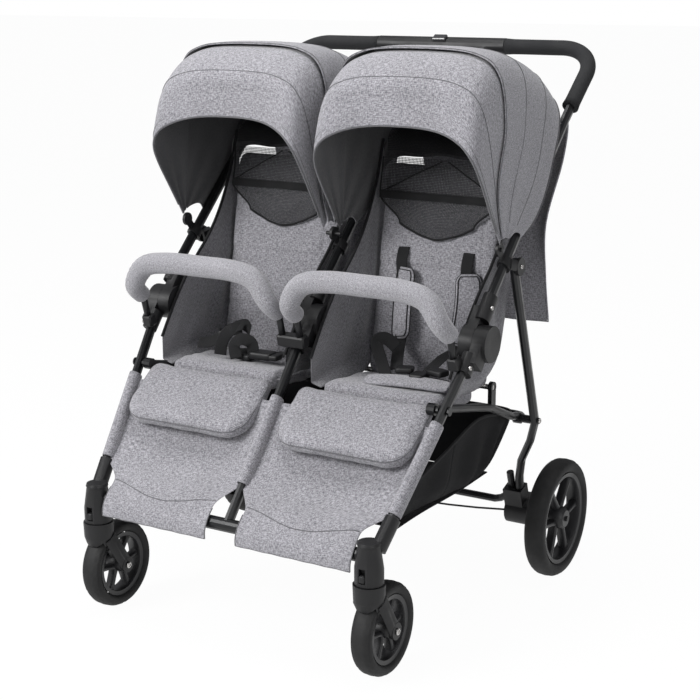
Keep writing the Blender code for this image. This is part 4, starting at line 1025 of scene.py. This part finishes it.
for _, piece in both_sides("net_pocket", lambda: grid(28, 20, pocket_point), MESH, "back_{}"):
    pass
for label, piece in both_sides("window_shade_sheet", lambda: grid(24, 12, liner_point), SHADE, "upper_frame",
                               wall=0.0014):
    tucked(piece, label)
for label, piece in both_sides("net_window", lambda: grid(30, 16, window_point), MESH, "upper_frame"):
    tucked(piece, label)
both_sides("pocket_binding", pocket_edges, STRAP, "back_{}")

# %% [markdown]
# ## Bumper bars
# A bumper bar is a bent steel tube in foam, inside a zipped sleeve with a fine diagonal weave. The sleeve
# wrinkles on the inside of its two bends. It is a sweep whose radius has small ripples near the bends.

# %% Bumper sleeves
BUMPER_X = 0.1765
BUMPER_HALF = 0.157
LEG_UP, LEG_NORMAL = slope(49.5)
FOOT_RISE = slope(16)[1]
ELBOW = Vector((0, -0.052, 0.6145))


def leg_point(below, x=0.0, forward=0.0):
    return ELBOW - LEG_UP * below + LEG_NORMAL * forward + Vector((x, 0, 0))


def bumper_foot(x):
    foot = leg_point(0.150, x, 0.024)
    return [foot - FOOT_RISE * 0.006, foot + FOOT_RISE * 0.055]


def bumper_path():
    low = bumper_foot(0)[1]
    stations = ((0.0, low.y, low.z), (0.03, -0.212, 0.596), (0.20, -0.214, 0.634), (0.52, -0.210, 0.6445))
    half = [(BUMPER_HALF * (1 - share), y, z) for share, y, z in stations]
    left = [Vector((BUMPER_X - x, y, z)) for x, y, z in half]
    right = [Vector((BUMPER_X + x, y, z)) for x, y, z in half[::-1]]
    return curve(left + [Vector((BUMPER_X, -0.207, 0.645))] + right, 96)


def bumper_radius(share):
    end = min(share, 1 - share)
    bend = math.exp(-((end - 0.20) / 0.07) ** 2)
    tuck = 1 - 0.25 * max(0.0, 1 - end / 0.02) ** 2
    return 0.0200 * (0.82 + 0.18 * min(1.0, end / 0.22)) * tuck + 0.0007 * bend * math.sin(share * 260)


def bumper_arms():
    arms = []
    for edge in (-1, 1):
        low, high = bumper_foot(BUMPER_X + edge * BUMPER_HALF)
        arms.append(sweep([low + (high - low) * 0.02, high + (high - low) * 0.2], 0.0064, sides=20))
    return gather(*arms)


for label, piece in both_sides("bumper_sleeve", lambda: sweep(bumper_path(), bumper_radius, sides=28), SLEEVE,
                               "bumper_bar_{}"):
    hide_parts(f"bumper_{label}")
both_sides("bumper_arms", bumper_arms, TUBE, "bumper_bar_{}")

# %% [markdown]
# ## Foot panel
# Below the calf rests a panel of cloth runs between the three legs, down to the footrest trays. Sleeves of
# the same cloth hold it on the leg tubes. A U-shaped seam shapes each tray.

# %% Leg panel
FRAME_HALF = 0.345
LEG_HALF_WIDE = 0.0155 / 2
LEG_HALF_DEEP = 0.012
SLEEVE_GAP = 0.0028
STATIONS = ((0.376, -0.003, 0), (0.408, 0.0, 0), (0.440, 0.004, 0), (0.475, 0.0115, 0), (0.498, 0.0150, 0),
            (0.516, 0.0150, 0), (0.532, 0.0105, 0), (0.543, 0.002, 0))


def outer_leg_x(below):
    """Outer legs run inwards below the fold joint."""
    return FRAME_HALF - 0.041 * max(0.0, below - 0.1215) / (0.480 - 0.1215)


def panel_point(u, v):
    """Panel of one side: u runs outwards from the middle leg, v down the legs."""
    below, forward, _ = through(((0.262, -0.003, 0), (0.320, -0.003, 0)) + STATIONS, v)
    out = outer_leg_x(below)
    out += (0.2665 - out) * eased(below, 0.425, 0.478)
    into = 0.033 * eased(below, 0.425, 0.485)
    deep = eased(below, 0.262, 0.36) * (1 - eased(below, 0.41, 0.47))
    hollow = -0.016 * math.sin(math.pi * min(1.0, u)) ** 0.7 * deep
    ripple = 0.0012 * math.sin(34 * u + 3 * v) * eased(below, 0.40, 0.47)
    return leg_point(below, into + (out - into) * u, forward + hollow + ripple)


def leg_sleeves():
    shapes = []
    for x_at in (lambda below: 0.0, outer_leg_x, lambda below: -outer_leg_x(below)):
        path = [leg_point(below, x_at(below)) for below in [0.255 + 0.177 * step / 24 for step in range(25)]]
        shapes.append(sweep(path, LEG_HALF_WIDE + SLEEVE_GAP, LEG_HALF_DEEP + SLEEVE_GAP, normal=LEG_NORMAL,
                            sides=24, caps=False))
    return gather(*shapes)


panel = grid(30, 60, panel_point)
panel = gather(panel, mirrored(grid(30, 60, panel_point)), leg_sleeves())
piece = finish("foot_panel", panel, HEATHER, "front_frame", wall=0.0018, levels=1)
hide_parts("leg_panel")


def panel_seams():
    """Bound lower edge, and the seam where the tray begins."""
    tray = traced(lambda u: panel_point(u, 0.60 + 0.05 * math.cos(math.pi * (2 * u - 1))), 60, 1, 59)
    edges = [[point + LEG_NORMAL * 0.0012 for point in tray], traced(lambda u: panel_point(u, 1.0), 40)]
    for side in (0.0, 1.0):
        edges.append([panel_point(side, 0.62 + 0.38 * step / 40) for step in range(41)])
    return gather(*[sweep(path, 0.0011 if number else 0.0008, sides=6) for number, path in enumerate(edges)])


seams = panel_seams()
finish("foot_panel_binding", gather(seams.copy(), mirrored(seams)), SEAM, "front_frame")
seams.free()

# %% [markdown]
# ## Basket
# The basket is black nylon, open at the top with a bound rim, and it hangs slack between the frame's tubes.
# Its front is tied to the front frame and its rear to the seat frame, so it is two pieces that fold apart.

# %% Basket
BASKET_LOOPS = (
    (0.3000, -0.245, 0.181, (0.300, 0.366, 0.342)),
    (0.2940, -0.255, 0.181, (0.288, 0.325, 0.322)),
    (0.2850, -0.258, 0.130, (0.262, 0.262, 0.262)),
    (0.2700, -0.250, 0.110, (0.236, 0.230, 0.232)),
)


def basket_ring(half, front, back, heights):
    low, mid, high = heights
    stations = ((front, low, 0.012), (front * 0.5, (low + mid) / 2 + 0.006, 0), (0.0, mid, 0),
                (back * 0.55, (mid + high) / 2, 0), (back - 0.030, high, 0.003), (back, high, 0.038))
    right = [(half - inset, y, z) for y, z, inset in stations]
    ring = right + [(0.10, back, high), (-0.10, back, high)]
    ring += [(-x, y, z) for x, y, z in reversed(right)] + [(-0.10, front, low), (0.10, front, low)]
    return ring


BASKET_SPLIT = -0.095
BASKET_RINGS = [basket_ring(*loop) for loop in BASKET_LOOPS]


def basket_point(u, v):
    rings = [through(ring + [ring[0]], u) for ring in BASKET_RINGS]
    spot = through(rings, v)
    pull = 0.0035 * math.sin(u * 2 * math.pi * 17) * math.sin(math.pi * min(1.0, v * 0.9))
    middle = Vector((0, -0.06, spot.z))
    return spot + (spot - middle).normalized() * (pull - 0.0035)


shell = grid(160, 14, basket_point)
bmesh.ops.remove_doubles(shell, verts=shell.verts, dist=0.0005)
rim_line = traced(lambda u: basket_point(u, 0.0), 120, 0, 119)
bottom = grid(24, 16, lambda u, v: Vector((-0.268 + 0.536 * u, -0.248 + 0.356 * v,
                                          0.2285 + 0.004 * math.sin(9 * u) * math.sin(7 * v))))
cloth_all = gather(shell, bottom)
hem_all = sweep(rim_line, 0.0028, sides=8, closed=True)


def part_of(bm, front):
    """The part of a shape before or behind the plane where the basket folds."""
    kept = bm.copy()
    whole = kept.verts[:] + kept.edges[:] + kept.faces[:]
    bmesh.ops.bisect_plane(kept, geom=whole, plane_co=(0, BASKET_SPLIT, 0), plane_no=(0, 1, 0),
                           clear_outer=front, clear_inner=not front)
    return kept


for place_name, body, front, axis, anchor, keep, flat, area in (
    ("rear", "seat_base", False, (0, 0, 1), (0, 0, 0.382), 0.05, (1.4, 0.35), 0.251),
    ("front", "front_frame", True, (0, 1, 0), (0, -0.270, 0), 0.06, (0.9, 0.35), 0.152),
):
    piece = finish(f"basket_{place_name}", part_of(cloth_all, front), NYLON, body, wall=0.0018)
    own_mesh(piece)
    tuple(axis)
    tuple(anchor)
    if not front:
        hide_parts("basket")
    piece = finish(f"basket_hem_{place_name}", part_of(hem_all, front), STRAP, body)
    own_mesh(piece)
    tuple(axis)
    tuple(anchor)
cloth_all.free()
hem_all.free()

# %% [markdown]
# ## Harness
# Each seat has a five point harness: two padded shoulder straps, waist straps, and a buckle on a padded
# crotch strap. Webbing is a flat sweep with rounded edges, and a shoulder pad is a thicker one with a
# double line of piping.

# %% Harness
HARNESS_FACE = 0.0125


def on_back(up, across, lift=0.0):
    return ROD + BACK_UP * up + BACK_FRONT * (HARNESS_FACE + lift) + Vector((SEAT_X + across, 0, 0))


def strap(points, normal, half=0.012):
    return sweep(curve(points, 24), half, 0.0008, normal=normal, sides=12, square=6.0)


PADS = ((-1, -0.066, -0.052, -0.046), (1, 0.072, 0.080, 0.082))    # side, slot, pad top, pad bottom
PAD_TILT = 0.35


def shoulder_straps():
    parts = []
    for _, slot, top, low in PADS:
        upper = [on_back(0.246, slot, -0.006), on_back(0.240, slot, 0.003), on_back(0.215, slot, 0.008),
                 on_back(0.185, (slot + top) / 2, 0.010), on_back(0.16, top, 0.012)]
        lower = [on_back(0.080, low, 0.020), on_back(0.062, low * 0.92, 0.030),
                 on_back(0.046, low * 0.72, 0.050), Vector((SEAT_X + low * 0.5 + 0.012, -0.066, 0.462))]
        parts += [strap(upper, BACK_FRONT), strap(lower, (0, -0.5, 1))]
    x = SEAT_X
    parts.append(strap([(x - 0.020, -0.086, 0.4505), (x - 0.040, -0.070, 0.474), (x - 0.056, -0.060, 0.506),
                        (x - 0.040, -0.054, 0.514), (x - 0.018, -0.050, 0.498)], (0.3, -1, 0.2)))
    parts.append(strap([(x + 0.020, -0.070, 0.4515), (x + 0.070, -0.072, 0.4530),
                        (x + 0.112, -0.078, 0.4520)], (0, -0.1, 1), 0.011))
    return gather(*parts)


def pad_middle(edge, top, low, share):
    up = 0.205 - 0.135 * share
    across = top + (low - top) * share
    return on_back(up, across + edge * 0.004 * math.sin(math.pi * share), 0.011 + 0.011 * share * share)


def pad_half(share):
    end = min(share, 1 - share)
    return 0.0245 * (1 - 0.40 * max(0.0, 1 - end / 0.12) ** 2)


def pad_lines():
    """Middle line and normal of each shoulder pad."""
    for edge, _, top, low in PADS:
        path = traced(lambda share: pad_middle(edge, top, low, share), 30)
        yield path, BACK_FRONT + Vector((edge * PAD_TILT, 0, 0))


def shoulder_pads():
    parts = []
    for path, normal in pad_lines():
        parts.append(sweep(path, pad_half, 0.0052, normal=normal, sides=24, square=3.0))
    x = SEAT_X
    waist = curve([(x - 0.048, -0.112, 0.4485), (x + 0.010, -0.110, 0.4535), (x + 0.070, -0.106, 0.4545),
                   (x + 0.118, -0.100, 0.4520)], 30)
    parts.append(sweep(waist, lambda share: 0.019 * (1 - 0.3 * abs(2 * share - 1) ** 6), 0.0048,
                       normal=(0, -0.25, 1), sides=24, square=3.0))
    return gather(*parts)


def outline_of(path, half_at, normal, inset=0.0, lift=0.0):
    """Closed line round the edge of a swept pad."""
    count = len(path) - 1
    left, right = [], []
    for number, point in enumerate(path):
        tangent = (path[min(number + 1, count)] - path[max(number - 1, 0)]).normalized()
        side = tangent.cross(normal).normalized()
        half = half_at(number / count) - inset
        left.append(point + side * half + normal * lift)
        right.append(point - side * half + normal * lift)
    keep = slice(1, -1) if inset else slice(0, None)
    return left[keep] + right[keep][::-1]


def pad_piping():
    parts = []
    for path, normal in pad_lines():
        for inset, lift in ((0.0, 0.0), (0.0045, 0.0048)):
            line = outline_of(path, pad_half, normal.normalized(), inset, lift)
            parts.append(sweep(line, 0.0012, sides=6, closed=True))
    return gather(*parts)


def buckle_block(centre, size, turn):
    bm = rounded_block(size, min(size[0], size[1]) * 0.22, 4)
    place = Matrix.Translation(centre) @ Matrix.Rotation(math.radians(turn), 4, "Z")
    bmesh.ops.transform(bm, matrix=place, verts=bm.verts)
    mapped(bm)
    return bm


def right_buckles():
    x = SEAT_X
    return gather(buckle_block((x + 0.012, -0.074, 0.4660), (0.034, 0.030, 0.011), 20),
                  buckle_block((x + 0.078, -0.070, 0.4680), (0.038, 0.028, 0.012), -15),
                  buckle_block((x + 0.046, -0.082, 0.4600), (0.030, 0.036, 0.012), 4))


def harness_piece(name, bm, material, side, levels=0):
    """Part of a harness, riding on its seat back, with its own copy of the mesh."""
    made = finish(name, bm, material, f"back_{side}", levels=levels)
    tuple(BACK_FRONT)
    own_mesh(made)
    return made


harness_piece("shoulder_strap_right", shoulder_straps(), STRAP, "right")
piece = harness_piece("shoulder_pad_right", shoulder_pads(), HEATHER, "right")
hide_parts("harness_right")
harness_piece("shoulder_piping_right", pad_piping(), PIPING, "right")
harness_piece("buckle_right", right_buckles(), PLASTIC, "right", 1)


def left_straps():
    x = -SEAT_X
    lines = (
        (((-0.096, -0.096, 0.466), (-0.066, -0.096, 0.471), (-0.034, -0.095, 0.490), (-0.006, -0.092, 0.508),
          (0.012, -0.088, 0.512), (0.008, -0.082, 0.496)), (0.1, -0.8, 0.6)),
        (((0.004, -0.090, 0.506), (-0.016, -0.102, 0.500), (-0.030, -0.108, 0.478), (-0.034, -0.110, 0.452)),
         (0.5, -0.9, 0.3)),
        (((0.006, -0.112, 0.450), (0.000, -0.110, 0.474), (0.012, -0.104, 0.487), (0.030, -0.096, 0.480),
          (0.034, -0.094, 0.456)), (0.2, -0.9, 0.5)),
        (((-0.020, -0.084, 0.454), (0.010, -0.084, 0.458), (0.050, -0.086, 0.456), (0.098, -0.078, 0.462)),
         (0, -0.3, 1)),
    )
    return gather(*[strap([(x + a, y, z) for a, y, z in points], normal) for points, normal in lines])


def left_buckles():
    x = -SEAT_X
    return gather(buckle_block((x + 0.056, -0.094, 0.4590), (0.050, 0.034, 0.015), 4),
                  buckle_block((x + 0.082, -0.094, 0.4580), (0.026, 0.028, 0.011), 4),
                  buckle_block((x - 0.040, -0.100, 0.4860), (0.007, 0.006, 0.030), 0),
                  buckle_block((x + 0.012, -0.088, 0.4500), (0.040, 0.030, 0.012), -10))


piece = harness_piece("harness_straps_left", left_straps(), STRAP, "left")
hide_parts("harness_left")
harness_piece("buckle_left", left_buckles(), PLASTIC, "left", 1)

# %% [markdown]
# ## Handlebar grips
# The grips are sleeves of black foam on the two corners of the handlebar, with a slightly swollen end.

# %% Grips
HANDLE_UP = slope(43.2)[0]
BAR = Vector((0, 0.4074, 1.0266))


def handle_point(along, x):
    return ELBOW + HANDLE_UP * along + Vector((x, 0, 0))


def bent(start, corner, end, radius, steps):
    """Straight run, an arc round the corner, and a straight run."""
    back, ahead = (start - corner).normalized(), (end - corner).normalized()
    half = back.angle(ahead) / 2
    centre = corner + (back + ahead).normalized() * (radius / math.sin(half))
    reach = radius / math.tan(half)
    first = corner + back * reach - centre
    last = corner + ahead * reach - centre
    sweep_angle = first.angle(last)
    arc = []
    for step in range(steps + 1):
        turned = step / steps * sweep_angle
        spoke = first * math.sin(sweep_angle - turned) + last * math.sin(turned)
        arc.append(centre + spoke / math.sin(sweep_angle))
    run_in = traced(lambda share: start.lerp(arc[0], share), 8, 0, 7)
    run_out = traced(lambda share: arc[-1].lerp(end, share), 8, 1)
    return run_in + arc + run_out


def grip():
    corner = BAR + Vector((FRAME_HALF, 0, 0))
    path = bent(handle_point(0.452, FRAME_HALF), corner, BAR + Vector((0.1475, 0, 0)), 0.075, 24)
    total = running(path)[-1]
    swell = lambda share: 0.0150 + 0.0012 * math.exp(-(min(share, 1 - share) * total / 0.006) ** 2)
    return sweep(path, swell, sides=32)


for label, piece in both_sides("foam_grip", grip, FOAM, "upper_frame"):
    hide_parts(f"grip_{label}")

# %% [markdown]
# ## Wheels
# A tyre is a profile spun about the axle. Its tread blocks and the wavy groove on its shoulder come from
# moving rings of points in and out round the tyre. The rim has a ring, a hub and three pairs of spokes.

# %% Tyres and rims
def spun(profile, steps, centre):
    """Closed body of revolution about the axle; the profile is (radius, offset along the axle) pairs."""
    bm = bmesh.new()
    verts = [bm.verts.new((offset, 0, radius)) for radius, offset in profile]
    edges = [bm.edges.new(pair) for pair in zip(verts, verts[1:] + verts[:1])]
    bmesh.ops.spin(bm, geom=verts + edges, cent=(0, 0, 0), axis=(1, 0, 0), angle=2 * math.pi, steps=steps,
                   use_merge=True)
    bmesh.ops.recalc_face_normals(bm, faces=bm.faces)
    bmesh.ops.translate(bm, vec=centre, verts=bm.verts)
    return bm


def tyre(centre, radius, half, depth, waves):
    profile = []
    for step in range(28):
        angle = 2 * math.pi * step / 28
        c, s = math.cos(angle), math.sin(angle)
        out = math.copysign(abs(c) ** 0.75, c)
        across = math.copysign(abs(s) ** 0.80, s)
        profile.append((radius - depth / 2 + out * depth / 2, across * half))
    bm = spun(profile, 180, centre)
    for vert in bm.verts:
        spoke = vert.co - centre
        flat = Vector((0, spoke.y, spoke.z))
        angle = math.atan2(spoke.z, spoke.y)
        side = abs(spoke.x) / half
        high = (flat.length - (radius - depth)) / depth
        wave = 0.5 + 0.5 * math.sin(angle * waves)
        if high > 0.72 and side > 0.35:
            notch = max(0.0, 1 - abs(side - 0.70 - 0.10 * wave) / 0.13)
            vert.co -= flat.normalized() * 0.0016 * notch
        if high > 0.95:
            ribs = max(0.0, 1 - abs(side - 0.25) / 0.08)
            vert.co -= flat.normalized() * 0.0012 * ribs
    return bm


def rim(centre, outer, half, hub):
    lip = 0.0018
    profile = [(outer - 0.0075, -half * 0.60), (outer - 0.006, -half * 0.74), (outer, -half * 0.76),
               (outer + lip, -half * 0.80), (outer, -half * 0.70), (outer - 0.002, -half * 0.45),
               (outer - 0.002, half * 0.45), (outer, half * 0.70), (outer + lip, half * 0.80),
               (outer, half * 0.76), (outer - 0.006, half * 0.74), (outer - 0.0075, half * 0.60)]
    parts = [spun(profile, 96, centre)]
    barrel = [(0.0056, -half), (hub * 0.72, -half), (hub * 0.80, -half + 0.002), (hub, -half * 0.62),
              (hub, half * 0.62), (hub * 0.80, half - 0.002), (hub * 0.72, half), (0.0056, half)]
    parts.append(spun(barrel, 64, centre))
    for number in range(3):
        for spread in (-1, 1):
            root = math.radians(90 + 120 * number + spread * 10)
            tip = math.radians(90 + 120 * number + spread * 33)
            start = centre + Vector((0, math.cos(root), math.sin(root))) * (hub * 0.72)
            end = centre + Vector((0, math.cos(tip), math.sin(tip))) * (outer - 0.004)
            path = traced(lambda share: start.lerp(end, share), 12)
            width = lambda share: 0.0046 + 0.0035 * abs(2 * share - 1) ** 3
            parts.append(sweep(path, width, half * 0.46, normal=(1, 0, 0), sides=16, square=3.5))
    return gather(*parts)


FRONT_AXLE = (0.293, -0.341, 0.083)
WHEELS = (("front", Vector(FRONT_AXLE), 0.083, 0.019, 0.023, 0.016, 26),
          ("rear", Vector((0.365, 0.227, 0.118)), 0.118, 0.0205, 0.028, 0.023, 36))
for place_name, centre, radius, half, depth, hub, waves in WHEELS:
    body = place_name + "_wheel_{}"
    for label, piece in both_sides(f"{place_name}_tread", lambda: tyre(centre, radius, half, depth, waves),
                                   RUBBER, body):
        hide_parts(f"{place_name}_tyre_{label}")
    inner = radius - depth - 0.0004
    for label, piece in both_sides(f"{place_name}_spokes", lambda: rim(centre, inner, half, hub), RIM, body,
                                   sharp=40):
        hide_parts(f"{place_name}_rim_{label}")

# %% [markdown]
# ## Mouldings and bolts
# The plastic castings of the CAD model have sharp edges, which a moulded part never has. Each is copied, its
# flat faces are merged, and a small bevel rounds the edges so that they catch the light. Domed bolts with a
# socket hold the castings, the rails and the axles.

# %% Moulded castings
SHARP = 38
MERGED_ANGLE = 2


def moulded(node):
    bm = bmesh.new()
    bm.from_mesh(bpy.data.objects[node].data)
    bmesh.ops.remove_doubles(bm, verts=bm.verts, dist=0.00001)
    bmesh.ops.dissolve_limit(bm, angle_limit=math.radians(MERGED_ANGLE), verts=bm.verts, edges=bm.edges)
    piece = finish(node + "_moulded", bm, PLASTIC, body_of(bpy.data.objects[node])[0], sharp=SHARP)
    soft = piece.modifiers.new("soft_edges", "BEVEL")
    soft.width = 0.0013
    soft.segments = 2
    soft.angle_limit = math.radians(SHARP)
    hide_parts(node)


castings = [entry["node"] for entry in frame["record"]["subparts"]
            if entry["material_slot"] == "black_plastic" and entry["node"] != "fold_button"]
for node in castings:
    moulded(node)
print(len(castings), "castings with soft edges")

# %% Bolts
BOLT_HEAD = ((1.0, -0.4), (1.0, 0.4), (0.86, 0.85), (0.55, 1.0), (0.50, 1.0), (0.46, 0.45), (0.1, 0.42),
             (0.1, -0.4))
BOLT_HEIGHT = 0.0022
BOLT_RADIUS = 0.0040
RAIL_BOLT_RADIUS = 0.005
AXLE_BOLT_RADIUS = 0.0062
FORK_HALF = 0.0300


def bolt(x, y, z, side, radius):
    profile = [(radius * wide, side * BOLT_HEIGHT * high) for wide, high in BOLT_HEAD]
    return spun(profile, 24, Vector((x, y, z)))


for name, spots, body, radius in (
    ("bolts_front", ((0.358, -0.153, 0.509),), "front_frame", BOLT_RADIUS),
    ("bolts_upper", ((0.358, -0.072, 0.600), (0.360, 0.0429, 0.6551)), "upper_frame", BOLT_RADIUS),
    ("bolts_rail", ((0.3555, 0.1527, 0.335),), "seat_base", RAIL_BOLT_RADIUS),
):
    pairs = [bolt(side * x, y, z, side, radius) for x, y, z in spots for side in (-1, 1)]
    finish(name, gather(*pairs), STEEL, body, sharp=40)


def axle_bolts():
    x, y, z = FRONT_AXLE
    return gather(*[bolt(x + side * FORK_HALF, y, z, side, AXLE_BOLT_RADIUS) for side in (1, -1)])


both_sides("axle_bolts", axle_bolts, STEEL, "caster_{}", sharp=40)

# %% [markdown]
# ## Sizes
# The last cell prints the size of the dressed model, to compare with the size of the CAD model printed at the
# start.

# %% Sizes and finish
import json

final_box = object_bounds()
plain = [[[float(value) for value in corner] for corner in box] for box in (CAD_BOX, final_box)]
bpy.context.scene.view_settings.view_transform = "Standard"
print("visual box", [[round(value, 3) for value in corner] for corner in final_box])
